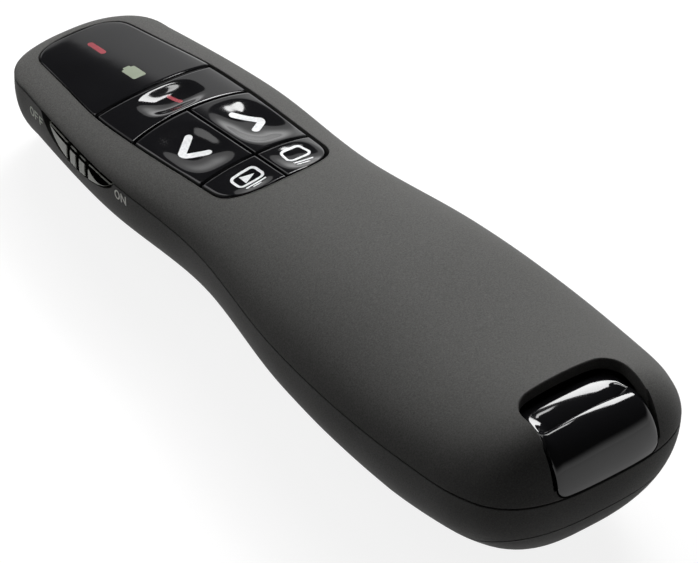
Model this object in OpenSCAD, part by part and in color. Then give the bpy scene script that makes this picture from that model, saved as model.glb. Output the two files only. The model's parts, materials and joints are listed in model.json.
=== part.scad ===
// Hand-held wireless presentation clicker.
// Two lofted shells hold a key board, a laser module, two AAA cells and a pull-out USB receiver.
// Millimetres, +Y towards the nose, +Z up, origin on the table below the middle of the body.

/* [Body outline] */
// Overall length, nose to tail
body_l = 115.5; // [114:0.5:119]
// Width across the tail end
tail_w = 35; // [34:0.1:36]
// Width at the grip, the widest place
grip_w = 37.5; // [36.5:0.1:38.5]
// Width where the palm lies
palm_w = 35.4; // [34.6:0.1:36.4]
// Width at the waist
waist_w = 29.1; // [28.5:0.1:30.5]
// Width beside the keys
keys_w = 29; // [28.6:0.1:30.5]
// Width across the nose
nose_w = 23.7; // [23:0.1:25]
// Length of the rounding at the tail
tail_round = 14.4; // [13:0.1:16]
// Length of the rounding at the nose
nose_round = 8.4; // [7.4:0.1:9.4]

/* [Body height] */
// Top of the crown, drawn out to the tail end
top_tail = 29.6; // [29.2:0.1:30]
// Top of the crown behind the grip
top_heel = 25.3; // [25:0.1:25.7]
// Top of the crown over the palm
top_palm = 24.8; // [24.5:0.1:25.2]
// Top of the crown at the waist
top_waist = 21.5; // [21.2:0.1:22.1]
// Top of the crown at the laser key
top_keys = 17.9; // [17.7:0.1:18.4]
// Top of the crown at the nose end
top_nose = 14.5; // [14.3:0.1:15]
// Height of the parting line at the tail end
part_tail = 17.55; // [17.3:0.05:17.8]
// Height of the parting line at the waist
part_waist = 15.8; // [15.6:0.05:16]
// Height of the parting line at the nose end
part_nose = 13.3; // [13.1:0.05:13.5]
// Rise of the underside at the tail end
keel_tail = 5.1; // [4.6:0.1:5.6]
// Rise of the underside at the waist
keel_waist = 2.4; // [2.2:0.1:2.6]

/* [Walls and gaps] */
// Wall of the two shells and of the battery door
wall = 1.6; // [1.4:0.05:1.8]
// Gap along the parting line between the shells
part_gap = 0.2; // [0.1:0.05:0.3]
// Gap around the battery door
door_gap = 0.2; // [0.15:0.05:0.3]
// Gap between a key and what is beside it
key_gap = 0.3; // [0.2:0.05:0.4]
// Gap around the front panel and its windows
panel_gap = 0.1; // [0.05:0.05:0.2]
// Gap around the receiver in its bay
bay_gap = 0.2; // [0.1:0.05:0.3]

/* [Keys and front panel] */
// Half width of the key opening beside the laser key
keys_half = 9.8; // [9.5:0.1:10]
// Half width of the front panel at its front corners
panel_half = 7.4; // [7:0.1:7.8]
// Distance from the nose end to the front edge of the panel
panel_front = 2.15; // [2:0.05:2.6]
// Distance from the nose end to the rear edge of the panel
panel_rear = 20.6; // [20.3:0.1:20.9]
// Distance from the nose end to the seam behind the laser key
laser_seam = 28.9; // [28.6:0.1:29.2]
// Distance from the nose end to the seam behind the arrow keys
arrow_seam = 43.05; // [42.8:0.1:43.3]
// Distance from the nose end to the rear edge of the key opening
keys_rear = 50.5; // [50.2:0.1:50.8]
// Thickness of the front panel
panel_t = 1; // [0.8:0.05:1.1]
// Thickness of a key cap
key_t = 1.8; // [1.6:0.1:2]
// Stroke of a key
key_stroke = 0.4; // [0.3:0.05:0.5]
// Depth of the finger dish in an arrow key
dish_d = 0.9; // [0.6:0.1:1]

/* [Board and switches] */
// Height of the underside of the main board
board_z = 11.4; // [11.2:0.1:11.6]
// Thickness of the main board
board_t = 1; // [0.8:0.1:1.2]
// Height of a key switch above the board
switch_h = 2.6; // [2.4:0.1:2.8]
// Side of a key switch
switch_w = 4.5; // [4.2:0.1:4.8]
// Radius of a switch plunger
plunger_r = 1.1; // [1:0.05:1.3]

/* [Power slider] */
// Distance from the nose end to the front end of the slider slot
slot_front = 12.7; // [12.5:0.1:13]
// Distance from the nose end to the rear end of the slider slot
slot_rear = 31.9; // [31.7:0.1:32.2]
// Depth of the slot below the parting line
slot_d = 4; // [3.8:0.1:4.2]
// Travel of the slider from on to off
slider_travel = 2; // [1.8:0.1:2.2]

/* [Battery bay] */
// Radius of an AAA cell
cell_r = 5.15; // [5:0.05:5.2]
// Length of an AAA cell with its nub
cell_l = 44.5; // [44:0.1:44.6]
// Height of the cell axes
cell_z = 9.95; // [9.9:0.01:10]
// Length of a fitted cell spring
spring_l = 4; // [3.8:0.1:4.2]
// Distance from the tail end to the rear wall of the bay
bay_rear = 10.85; // [10.6:0.05:11.2]
// Height of the flat edge between the door and the shell
door_z = 4.6; // [4.4:0.1:4.8]
// Rise of the door edge at the tail end
door_rise = 7.1; // [6.8:0.1:7.4]

/* [Receiver] */
// Half width of the notch in the tail
notch_half = 8.1; // [7.9:0.05:8.4]
// Distance from the tail end to the front of the notch
notch_l = 10.55; // [10.3:0.05:10.8]
// Tilt of the receiver, nose down
bay_tilt = 2; // [1.9:0.05:2.1]
// Width of the receiver body
stick_w = 14.2; // [13.8:0.1:14.6]
// Height of the receiver body
stick_h = 5.6; // [5.4:0.1:5.8]
// Distance from the tail end to the front of the receiver body
stick_l = 41; // [39:0.1:42]
// Wall of the receiver body
stick_wall = 0.9; // [0.8:0.05:1.1]
// Height of the crest on the receiver cap
crest_z = 25.1; // [24.9:0.05:25.3]
// Depth of the thumb scoop in the cap
scoop_d = 1.1; // [0.8:0.1:1.4]

/* [Laser] */
// Radius of the laser barrel
barrel_r = 3; // [2.8:0.05:3]
// Length of the laser barrel
barrel_l = 11.5; // [10:0.1:12]
// Height of the laser axis
laser_z = 8.2; // [8:0.05:8.25]
// Radius of the aperture in the nose
aperture_r = 1.6; // [1.3:0.05:1.8]

/* [Hidden] */
$fn = 48;

half_l = body_l / 2;
charcoal = "#4d4d4b";
gloss_black = "#141416";
board_green = "#1f5c3a";
steel = "#c9ccd1";
eps = 0.01;

// ---- Curves through stations: smooth through every value, with the slope shared between spans ----
function clamp(v, lo, hi) = min(max(v, lo), hi);
function smooth(t) = let (c = clamp(t, 0, 1)) c * c * (3 - 2 * c);
function chord(Y, V, i) = (V[i + 1] - V[i]) / (Y[i + 1] - Y[i]);
function inner_slope(Y, V, i) =
    (chord(Y, V, i - 1) * (Y[i + 1] - Y[i]) + chord(Y, V, i) * (Y[i] - Y[i - 1])) / (Y[i + 1] - Y[i - 1]);
function slopes(Y, V) = let (n = len(Y) - 1, m = [for (i = [1:n - 1]) inner_slope(Y, V, i)]) concat(
    [1.5 * chord(Y, V, 0) - 0.5 * m[0]], m, [1.5 * chord(Y, V, n - 1) - 0.5 * m[n - 2]]);
function curve(Y, V) = [Y, V, slopes(Y, V)];
function span_of(Y, y, i = 0) = i >= len(Y) - 2 || y < Y[i + 1] ? i : span_of(Y, y, i + 1);
function at(c, y) = let (
    Y = c[0], V = c[1], M = c[2], p = clamp(y, Y[0], Y[len(Y) - 1]), i = span_of(Y, p),
    h = Y[i + 1] - Y[i], t = (p - Y[i]) / h, t2 = t * t, t3 = t2 * t)
    (2 * t3 - 3 * t2 + 1) * V[i] + (t3 - 2 * t2 + t) * h * M[i]
    + (3 * t2 - 2 * t3) * V[i + 1] + (t3 - t2) * h * M[i + 1];

// Stations along the body for the widths and for the heights
width_y = [-half_l + 7.75, -half_l + 25.75, -half_l + 45.75, half_l - 49.75, half_l - 27.75, half_l - 7.75];
height_y = [-half_l, -half_l + 19.75, -half_l + 42.75, half_l - 47.75, half_l - 22.75, half_l];
part_heel = part_tail - 0.65;
part_palm = part_waist + 0.2;
part_keys = part_waist - 1;
width_c = curve(width_y, [tail_w, grip_w, palm_w, waist_w, keys_w, nose_w] / 2);
top_c = curve(height_y, [top_tail, top_heel, top_palm, top_waist, top_keys, top_nose]);
part_c = curve(height_y, [part_tail, part_heel, part_palm, part_waist, part_keys, part_nose]);
keel_c = curve(height_y, [keel_tail, 0.35, 0.25, keel_waist, 0.6, 0]);

// Squareness of the plan outline at each end, and of the crown and the keel in section
tail_sq = 2.9;
nose_sq = 2.55;
crown_side = 2.3;
crown_top = 1.57;
keel_side = 2.05;
keel_bottom = 2.25;
// The crown's rings shrink towards a spine that ends short of the tail and of the nose
spine_tail = 9.25;
spine_nose = 2.2;
spine_soft = 1.5;

function half_w(y, d = 0) = let (
    tail_t = clamp((-(half_l - d - tail_round) - y) / tail_round, 0, 1),
    nose_t = clamp((y - (half_l - d - nose_round)) / nose_round, 0, 1))
    (at(width_c, y) - d) * pow(max(0, 1 - pow(tail_t, tail_sq)), 1 / tail_sq)
    * pow(max(0, 1 - pow(nose_t, nose_sq)), 1 / nose_sq);
function soft(v) = spine_soft * ln(1 + exp(v / spine_soft));
function spine(y) = let (lo = -half_l + spine_tail, hi = half_l - spine_nose, y1 = hi - soft(hi - y))
    lo + soft(y1 - lo);
function top_end(y, d) = at(top_c, y) - d;
function keel_end(y, d) = max(at(keel_c, y), 0) + d;

// Height of the crown above any place in plan, sunk by d
function ring_y(x, y, d, n = 6, guess = undef) = let (g = is_undef(guess) ? y : guess,
    s = clamp(abs(x) / max(half_w(g, d), 0.1), 0, 1), m = spine(g), err = y - (m + (g - m) * s))
    n == 0 ? g : ring_y(x, y, d, n - 1, clamp(g + err, -half_l + d, half_l - d));
function crown_z(x, y, d = 0) = let (g = ring_y(x, y, d), s = clamp(abs(x) / max(half_w(g, d), 0.1), 0, 1),
    h = pow(1 - pow(s, crown_side), 1 / crown_top))
    at(part_c, g) * (1 - h) + top_end(y, d) * h;

// ---- Plan outline and rings ----
nose_n = 6;
mid_n = 13;
tail_n = 8;
side_n = nose_n + mid_n + tail_n;
ring_n = 2 * side_n;
function outline_y(d) = concat(
    [for (k = [0:nose_n - 1]) half_l - d - nose_round + nose_round * pow(cos(90 * k / nose_n), 2 / nose_sq)],
    [for (k = [0:mid_n]) let (hi = half_l - d - nose_round, lo = -(half_l - d - tail_round))
        hi + (lo - hi) * k / mid_n],
    [for (k = [1:tail_n]) -(half_l - d - tail_round) - tail_round * pow(sin(90 * k / tail_n), 2 / tail_sq)]);
function ring_at(d, s, h, top, shift = 0) = let (ys = outline_y(d)) [for (k = [0:ring_n - 1]) let (
    i = k <= side_n ? k : ring_n - k, side = k <= side_n ? 1 : -1, y = ys[i], m = spine(y),
    yy = m + (y - m) * s, z0 = at(part_c, y) + shift)
    [side * half_w(y, d) * s, yy, z0 * (1 - h) + (top ? top_end(yy, d) : keel_end(yy, d)) * h]];
flat_angle = 82;
function layer(a, top) = [pow(cos(a), 2 / (top ? crown_side : keel_side)),
    a >= flat_angle ? 1 : pow(sin(a), 2 / (top ? crown_top : keel_bottom))];
function rings(d, angles, top, shift) = [for (a = angles) let (l = layer(a, top))
    ring_at(d, l[0], l[1], top, shift)];

// Faces between ring j and ring j + 1, and straight across the last ring
function skirt_faces(first, flip) = [for (k = [0:ring_n - 1]) let (
    a = first + k, b = first + (k + 1) % ring_n, c = a + ring_n, e = b + ring_n)
    each (flip ? [[a, b, e], [a, e, c]] : [[a, e, b], [a, c, e]])];
function cap_faces(first, flip) = [for (k = [0:side_n - 1]) let (
    a = first + k, b = first + k + 1,
    c = first + (ring_n - k - 1) % ring_n, e = first + (ring_n - k) % ring_n)
    each concat(flip ? [[a, c, b]] : [[a, b, c]], k == 0 ? [] : flip ? [[a, e, c]] : [[a, c, e]])];
outer_angles = [0, 13, 27, 41, 55, 69, flat_angle];
inner_angles = [0, 20, 40, 60, 80];
function flat(lists) = [for (l = lists) each l];

// A hollow half body: outer rings up to the crown, inner rings back down, and the rim between them
module bowl(top) {
    shift = top ? 0 : -part_gap;
    outer = rings(0, outer_angles, top, shift);
    inner = rings(wall, inner_angles, top, shift);
    stack = concat([for (j = [len(outer) - 1:-1:0]) outer[j]], inner);
    last = (len(stack) - 1) * ring_n;
    polyhedron(flat(stack), concat(
        cap_faces(0, !top),
        [for (j = [0:len(stack) - 2]) each skirt_faces(j * ring_n, !top)],
        cap_faces(last, top)), convexity = 6);
}

// A closed solid inside the walls, sunk by d, which trims the ribs and bosses of a half body
core_angles = [0, 25, 50, 75];
module core(top, d, reach) {
    stack = concat([ring_at(d, 1, 0, top, top ? -reach : reach)], rings(d, core_angles, top, 0));
    polyhedron(flat(stack), concat(
        cap_faces(0, top),
        [for (j = [0:len(stack) - 2]) each skirt_faces(j * ring_n, top)],
        cap_faces((len(stack) - 1) * ring_n, !top)), convexity = 4);
}

// A closed sheet between two heights over a plan patch; columns run in X, rows in Y
module sheet(columns, rows, px, py, top_z, bottom_z) {
    w = columns + 1;
    spots = [for (j = [0:rows]) for (i = [0:columns]) [px(i / columns, j / rows), py(i / columns, j / rows)]];
    n = len(spots);
    points = concat([for (p = spots) [p[0], p[1], top_z(p[0], p[1])]],
        [for (p = spots) [p[0], p[1], bottom_z(p[0], p[1])]]);
    cells = [for (j = [0:rows - 1]) for (i = [0:columns - 1]) j * w + i];
    rim = concat([for (i = [0:columns]) i], [for (j = [1:rows]) j * w + columns],
        [for (i = [columns - 1:-1:0]) rows * w + i], [for (j = [rows - 1:-1:1]) j * w]);
    polyhedron(points, concat(
        [for (a = cells) each [[a, a + w + 1, a + 1], [a, a + w, a + w + 1]]],
        [for (a = cells) each [[n + a, n + a + 1, n + a + w + 1], [n + a, n + a + w + 1, n + a + w]]],
        [for (k = [0:len(rim) - 1]) let (a = rim[k], b = rim[(k + 1) % len(rim)])
            each [[a, b, n + b], [a, n + b, n + a]]]), convexity = 4);
}

// ---- Key cluster and panel outline ----
y_panel_front = half_l - panel_front;
y_panel_rear = half_l - panel_rear;
y_laser_seam = half_l - laser_seam;
y_arrow_seam = half_l - arrow_seam;
y_keys_rear = half_l - keys_rear;
rear_round = 5;
rear_sq = 2.6;
front_round = 3.4;
front_sq = 2.8;
cluster_c = curve(
    [y_keys_rear, y_arrow_seam, y_laser_seam, y_panel_rear, half_l - 12, half_l - 7, y_panel_front],
    [keys_half - 0.9, keys_half - 0.6, keys_half, keys_half - 0.15, keys_half - 1.35, panel_half + 0.35,
    panel_half - 0.35]);
function cluster_half(y) = let (
    r = clamp((y_keys_rear + rear_round - y) / rear_round, 0, 1),
    f = clamp((y - (y_panel_front - front_round)) / front_round, 0, 1))
    at(cluster_c, y) * pow(max(0, 1 - pow(r, rear_sq)), 1 / rear_sq)
    * pow(max(0, 1 - pow(f, front_sq)), 1 / front_sq);
// Row places that crowd towards the rear end or the front end, where the outline turns in
function rear_rows(k, n) = y_keys_rear + rear_round * (1 - pow(cos(90 * k / n), 2 / rear_sq));
function front_rows(k, n) = y_panel_front - front_round * (1 - pow(cos(90 * k / n), 2 / front_sq));

// Plan outline from one row to another, grown by g
module cluster_plan(from, to, g = 0) {
    turn = 6;
    ys = concat(
        from <= y_keys_rear ? [for (k = [0:turn]) rear_rows(k, turn)] : [from],
        [for (k = [1:5]) let (
            a = max(from, y_keys_rear + rear_round), b = min(to, y_panel_front - front_round))
            a + (b - a) * k / 6],
        to >= y_panel_front ? [for (k = [turn:-1:0]) front_rows(k, turn)] : [to]);
    edge = [for (y = ys) [cluster_half(y) + g, clamp(y, from, to)]];
    polygon(concat([for (p = edge) p], [for (k = [len(edge) - 1:-1:0]) [-edge[k][0], edge[k][1]]]));
}

// Seams between the keys; the one behind the laser key bows forward
function laser_seam_y(x) = y_laser_seam + 0.9 * (1 - pow(x / keys_half, 2)) - 0.3;

// ---- Key caps ----
arrow_x = 4.7;
arrow_y = y_arrow_seam + 7;
small_x = 4.2;
small_y = y_keys_rear + 3.85;
laser_y = y_panel_rear - 3.9;
// Half sizes of the finger dishes, and how square they are in plan
arrow_dish = [4.35, 6.45];
laser_dish = [5.2, 3.4];
small_dish = [3.7, 3.2];
dish_sq = 2.8;
// A rounded-rectangular bowl with a soft rim; q is 0 in its middle and 1 along its rim
function dish(x, y, middle, half, d) = let (
    q = pow(abs(x - middle[0]) / half[0], dish_sq) + pow(abs(y - middle[1]) / half[1], dish_sq))
    d * pow(1 - min(1, q), 2);
function dishes(x, y) =
    dish(abs(x), y, [arrow_x, arrow_y], arrow_dish, dish_d)
    + dish(x, y, [0, laser_y], laser_dish, dish_d)
    + dish(abs(x), y, [small_x, small_y], small_dish, dish_d / 2);
key_sunk = 0.15;
function key_top(x, y) = crown_z(x, y) - key_sunk - dishes(x, y);
function key_floor(x, y) = crown_z(x, y) - key_sunk - key_t;
key_rows = 10;
key_cols = 8;
switch_top = board_z + board_t + switch_h;
plunger_top = switch_top + key_stroke + 0.4;
plunger_in = 1.2;
stem_r = 1.5;
seam_half = key_gap / 2;

stem_in = 0.5;
module stem(x, y) translate([x, y, plunger_top])
    cylinder(r = stem_r, h = key_floor(x, y) + stem_in - plunger_top);

y_laser_front = y_panel_rear - seam_half;
module laser_key() color(gloss_black) {
    y1 = y_laser_front;
    sheet(14, 6, function (u, v) let (y = laser_seam_y(0) + (y1 - laser_seam_y(0)) * v)
            (2 * u - 1) * (cluster_half(y) - key_gap),
        function (u, v) let (x = (2 * u - 1) * (keys_half - key_gap), y0 = laser_seam_y(x) + seam_half)
            y0 + (y1 - y0) * v, key_top_f, key_floor_f);
    stem(0, laser_y);
}
key_top_f = function (x, y) key_top(x, y);
key_floor_f = function (x, y) key_floor(x, y);

// An arrow key between the centre seam, the side of the opening and the two cross seams
module arrow_key(side) color(gloss_black) {
    y0 = y_arrow_seam + seam_half;
    sheet(key_cols, key_rows, function (u, v) let (y = y0 + (laser_seam_y(arrow_x) - y0) * v,
            a = seam_half, b = cluster_half(y) - key_gap) side > 0 ? a + (b - a) * u : -b + (b - a) * u,
        function (u, v) let (x = keys_half * (side > 0 ? u : u - 1), y1 = laser_seam_y(x) - seam_half)
            y0 + (y1 - y0) * v, key_top_f, key_floor_f);
    stem(side * arrow_x, arrow_y);
}

// A small key whose outer rear corner follows the rounded end of the opening
y_small_front = y_arrow_seam - seam_half;
y_small_turn = y_keys_rear + rear_round + key_gap;
function small_row(v) = v < 0.55 ? rear_rows(1 + 5 * v / 0.55, 6) + key_gap
    : y_small_turn + (y_small_front - y_small_turn) * (v - 0.55) / 0.45;
module small_key(side) color(gloss_black) {
    sheet(6, 9, function (u, v) let (a = seam_half, b = cluster_half(small_row(v) - key_gap) - key_gap)
            side > 0 ? a + (b - a) * u : -b + (b - a) * u,
        function (u, v) small_row(v), key_top_f, key_floor_f);
    stem(side * small_x, small_y);
}
module back_key() arrow_key(-1);
module forward_key() arrow_key(1);
module play_key() small_key(-1);
module blank_key() small_key(1);

// Key switches: a square can on the board with a plunger that sinks into it
key_spots = [[0, laser_y], [-arrow_x, arrow_y], [arrow_x, arrow_y], [-small_x, small_y], [small_x, small_y]];
plunger_gap = 0.06;
module key_switches() color("#2b2b2d") for (p = key_spots)
    translate([p[0], p[1], board_z + board_t]) difference() {
        translate([-switch_w / 2, -switch_w / 2, 0]) cube([switch_w, switch_w, switch_h]);
        translate([0, 0, switch_h - plunger_in - key_stroke - 0.2])
            cylinder(r = plunger_r + plunger_gap, h = switch_h);
    }
module plunger(i) color("#e8e4da") translate([key_spots[i][0], key_spots[i][1], switch_top - plunger_in])
    cylinder(r = plunger_r, h = plunger_top - switch_top + plunger_in);
module laser_plunger() plunger(0);
module back_plunger() plunger(1);
module forward_plunger() plunger(2);
module play_plunger() plunger(3);
module blank_plunger() plunger(4);

// ---- Front panel with its two windows ----
mark_w = 0.9;
mark_l = 3.7;
mark_y = half_l - 7.8;
icon_w = 2.1;
icon_l = 3.1;
icon_y = half_l - 16.1;
module mark_plan(g = 0) {
    for (s = [-1, 1]) translate([0, mark_y + s * (mark_l - mark_w) / 2]) circle(r = mark_w / 2 + g, $fn = 24);
    translate([-mark_w / 2 - g, mark_y - (mark_l - mark_w) / 2]) square([mark_w + 2 * g, mark_l - mark_w]);
}
module icon_plan(g = 0) {
    translate([-icon_w / 2 - g, icon_y - icon_l / 2 - g]) square([icon_w + 2 * g, icon_l + 2 * g]);
    translate([-0.5 - g, icon_y + icon_l / 2]) square([1 + 2 * g, 0.35 + g]);
}
panel_rows = 11;
function panel_row(v, from) = v < 0.45 ? from + (y_panel_front - front_round - from) * v / 0.45
    : front_rows(6 * (1 - (v - 0.45) / 0.55) * 0.88 + 0.7, 6);
module panel_sheet(g, up, down) sheet(10, panel_rows,
    function (u, v) (2 * u - 1) * (cluster_half(panel_row(v, y_panel_rear)) + g),
    function (u, v) panel_row(v, y_panel_rear) + (v > 0.99 ? g : 0) - (v < 0.01 && g > 0 ? 2 : 0),
    function (x, y) crown_z(x, y) + up, function (x, y) crown_z(x, y) - down);
module front_panel() color(gloss_black) difference() {
    panel_sheet(-panel_gap, 0, panel_t);
    windows(panel_gap / 2);
}
module windows(g) {
    up_to = top_waist;
    translate([0, 0, board_z]) linear_extrude(up_to) mark_plan(g);
    translate([0, 0, board_z]) linear_extrude(up_to) icon_plan(g);
}
lens_depth = wall + 0.4;
lens_sunk = 0.03;
// Slab under the crown around a light window, which gives the window the crown's slope
module lens_slab(y, l) sheet(2, 8,
    function (u, v) (2 * u - 1) * icon_w, function (u, v) y + (2 * v - 1) * l,
    function (x, y) crown_z(x, y) - lens_sunk, function (x, y) crown_z(x, y) - lens_depth);
module laser_indicator() color("#8f2f36") intersection() {
    lens_slab(mark_y, mark_l);
    translate([0, 0, board_z]) linear_extrude(board_z) mark_plan();
}
module battery_indicator() color("#8a9180") intersection() {
    lens_slab(icon_y, icon_l);
    translate([0, 0, board_z]) linear_extrude(board_z) icon_plan();
}

// ---- Upper shell ----
case_screw_x = 8.2;
case_screw_y = y_keys_rear - 0.35;
boss_r = 2.4;
case_screw_r = 1;
seat_z = door_z + 2.6;
bulkhead_top = seat_z + 1.6;
tab_gap = 0.35;
tab_t = 0.8;
tab_l = 6;
tab_drop = 1.2;
tab_y = [-half_l + 22, -half_l + 42, half_l - 38, half_l - 8.5];
// Tongues inside the rim that slip down behind the lower shell's wall
module rim_tabs() for (y = tab_y, s = [-1, 1]) let (slope = (half_w(y + 1) - half_w(y - 1)) / 2)
    translate([s * (half_w(y) - wall - tab_gap), y, at(part_c, y) - tab_drop])
        rotate([0, 0, -s * atan(slope)]) translate([s > 0 ? -tab_t : 0, -tab_l / 2, 0])
            cube([tab_t, tab_l, tab_drop + 2.8]);
module upper_shell() color(charcoal) difference() {
    union() {
        bowl(true);
        intersection() {
            core(true, wall / 2, body_l / 8);
            union() {
                for (s = [-1, 1]) translate([s * case_screw_x, case_screw_y, bulkhead_top])
                    cylinder(r = boss_r, h = top_waist);
                rim_tabs();
            }
        }
    }
    // opening for the keys
    translate([0, 0, board_z]) linear_extrude(top_palm) cluster_plan(y_keys_rear, y_panel_rear + 0.02);
    // seat of the front panel, and the two light wells through it
    panel_sheet(0, 3, panel_t + 0.02);
    windows(panel_gap);
    notch_cut();
    // pilot holes for the case screws
    for (s = [-1, 1]) translate([s * case_screw_x, case_screw_y, bulkhead_top])
        cylinder(r = case_screw_r, h = case_screw_l - 1);
}

// ---- Tail notch and receiver ----
notch_corner = 3;
notch_low_r = 1.5;
notch_clear = 5;
y_notch = -half_l + notch_l;
module notch_plan() {
    r = notch_corner;
    for (s = [-1, 1]) translate([s * (notch_half - r), y_notch - r]) circle(r = r);
    translate([-notch_half + r, y_notch - 2 * r]) square([2 * (notch_half - r), 2 * r]);
    translate([-notch_half, -half_l - notch_clear]) square([2 * notch_half, notch_l + notch_clear - r]);
}
// Rise of a round lower corner at x, where the straight side is at half
function corner_rise(x, half) = let (e = clamp((abs(x) - half + notch_low_r) / notch_low_r, 0, 1))
    notch_low_r * (1 - sqrt(1 - e * e));
// Notch through the crown down to the parting line, with round lower corners
module notch_cut() intersection() {
    translate([0, 0, part_tail - notch_clear]) linear_extrude(top_tail) notch_plan();
    steps = 6;
    side = [for (k = [0:steps]) let (x = notch_half - notch_low_r * (1 - sin(90 * k / steps)))
        [x, part_tail + corner_rise(x, notch_half)]];
    translate([0, y_notch + 1, 0]) rotate([90, 0, 0]) linear_extrude(notch_l + notch_clear) polygon(concat(
        [[notch_half - notch_low_r, part_tail - notch_clear]], side, [[notch_half, top_tail]],
        [[-notch_half, top_tail]], [for (k = [steps:-1:0]) [-side[k][0], side[k][1]]],
        [[-notch_half + notch_low_r, part_tail - notch_clear]]));
}

// ---- Battery door edge: low along the belly and lifted at the tail ----
tray_wall = 1.2;
bay_y0 = -half_l + bay_rear;
contact_t = 0.4;
bay_len = cell_l + 2 * contact_t + spring_l;
y_tray_front = bay_y0 + bay_len;
y_door_front = y_tray_front + tray_wall + 0.3;
door_lift_y = -half_l + 17.8;
function door_edge(y) = door_z + door_rise * smooth((door_lift_y - y) / (half_l + door_lift_y));
module door_space(g) {
    far = body_l;
    edge = [for (k = [0:10]) let (y = door_lift_y - (half_l + door_lift_y) * k / 10) [y, door_edge(y) + g]];
    rotate([90, 0, 90]) linear_extrude(far, center = true) polygon(concat(
        [[y_door_front + g, -5], [y_door_front + g, door_z + g]], edge,
        [[-far, door_z + door_rise + g], [-far, -5]]));
}
grip_y = -half_l + 50;
grip_pitch = 2.4;
grip_r = 1.1;
grip_d = 0.5;
grip_l = 12;
module battery_door() color(charcoal) difference() {
    intersection() {
        bowl(false);
        door_space(0);
    }
    // three finger grooves across the outside
    for (k = [-1:1]) let (y = grip_y + grip_pitch * k) translate([0, y, keel_end(y, grip_d) - grip_r])
        rotate([0, 90, 0]) cylinder(r = grip_r, h = grip_l, center = true);
}

// ---- Power slider, its slot and the slide switch ----
y_slot_front = half_l - slot_front;
y_slot_rear = half_l - slot_rear;
slot_deep_y = y_slot_rear + 0.62 * (y_slot_front - y_slot_rear);
// Depth of the lens-shaped slot below the parting line
function slot_depth(y) = let (ahead = y > slot_deep_y,
    t = abs(y - slot_deep_y) / (ahead ? y_slot_front - slot_deep_y : slot_deep_y - y_slot_rear))
    slot_d * pow(max(0, 1 - pow(t, 2)), ahead ? 0.75 : 0.6);
// Lens-shaped bar through the left wall: g in from the slot's lower edge, up above the parting line
module lens_wall(from, to, g, up) {
    n = 14;
    ys = [for (k = [0:n]) from + (to - from) * k / n];
    edge = [for (k = [0:n]) let (y = y_slot_rear + (y_slot_front - y_slot_rear) * k / n)
        [ys[k], min(at(part_c, y) - slot_depth(y) + g, at(part_c, ys[k]) + up - 0.05)]];
    rotate([90, 0, -90]) linear_extrude(body_l) polygon(concat([for (p = edge) [-p[0], p[1]]],
        [for (k = [n:-1:0]) [-ys[k], at(part_c, ys[k]) + up]]));
}
slider_front = y_slot_front - slider_travel - 0.35;
slider_rear = y_slot_rear + 0.45;
slider_proud = 0.1;
slider_top_gap = 0.35;
slider_slope = (half_w(y_slot_rear) - half_w(y_slot_front)) / (y_slot_front - y_slot_rear);
rib_pitch = 2.45;
rib_y = half_l - 22.9;
actuator_y = half_l - 24.5;
actuator_z = board_z - 1.5;
switch_body = [4.4, 9, 3.5];
switch_reach = 3.7;
switch_body_x = -half_w(actuator_y) + switch_reach;
// Slab that follows the side of the body in plan, between two distances in from the outline
module side_slab(from, to, y0, y1, z0, z1) {
    n = 8;
    ys = [for (k = [0:n]) y0 + (y1 - y0) * k / n];
    translate([0, 0, z0]) linear_extrude(z1 - z0) polygon(concat([for (y = ys) [-half_w(y) + from, y]],
        [for (k = [n:-1:0]) [-half_w(ys[k]) + to, ys[k]]]));
}
flange_in = wall + 0.8;
flange_t = 0.65;
fork_in = flange_in + 0.4;
fork_l = 4;
module power_slider() color("#8d9086") difference() {
    union() {
        intersection() {
            lens_wall(slider_rear, slider_front, 0.25, -slider_top_gap);
            side_slab(-slider_proud, flange_in + flange_t, slider_rear, slider_front, 5, 20);
        }
        // flange behind the wall, and the fork over the switch's actuator
        side_slab(flange_in, flange_in + flange_t, slider_rear + 1.2, rib_y + 1.6, board_z - 0.5,
            at(part_c, y_slot_front) - 0.6);
        side_slab(fork_in, switch_reach - 0.4, actuator_y - fork_l / 2, actuator_y + fork_l / 2,
            actuator_z - 0.1, board_z - 0.3);
    }
    // finger grooves
    for (k = [-1:1]) translate([-half_w(rib_y) - rib_clear, rib_y + k * rib_pitch, 0])
        rotate([0, 0, -atan(slider_slope)]) translate([0, -rib_gap / 2, 0])
            cube([rib_clear + rib_d, rib_gap, top_palm]);
    // fork slot
    translate([-half_l, actuator_y - actuator_w / 2 - 0.1, actuator_z - 1])
        cube([half_l, actuator_w + 0.2, 3]);
}
rib_gap = 0.8;
rib_d = 0.8;
rib_clear = 1.2;
actuator_w = 1.5;
actuator_h = 1.2;
module slide_switch() color("#8a8c90") difference() {
    translate([switch_body_x, actuator_y - switch_body[1] / 2 + slider_travel / 2, board_z - switch_body[2]])
        cube(switch_body);
    // window in which the actuator moves
    translate([switch_body_x - 1, actuator_y - actuator_w / 2 - 0.3, actuator_z - 0.1])
        cube([3, actuator_w + 0.6 + slider_travel, actuator_h + 0.2]);
}
actuator_out = switch_reach - fork_in + 0.05;
actuator_in = 1.4;
module switch_actuator() color("#1c1c1e")
    translate([switch_body_x - actuator_out, actuator_y - actuator_w / 2, actuator_z])
        cube([actuator_out + actuator_in, actuator_w, actuator_h]);

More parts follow.
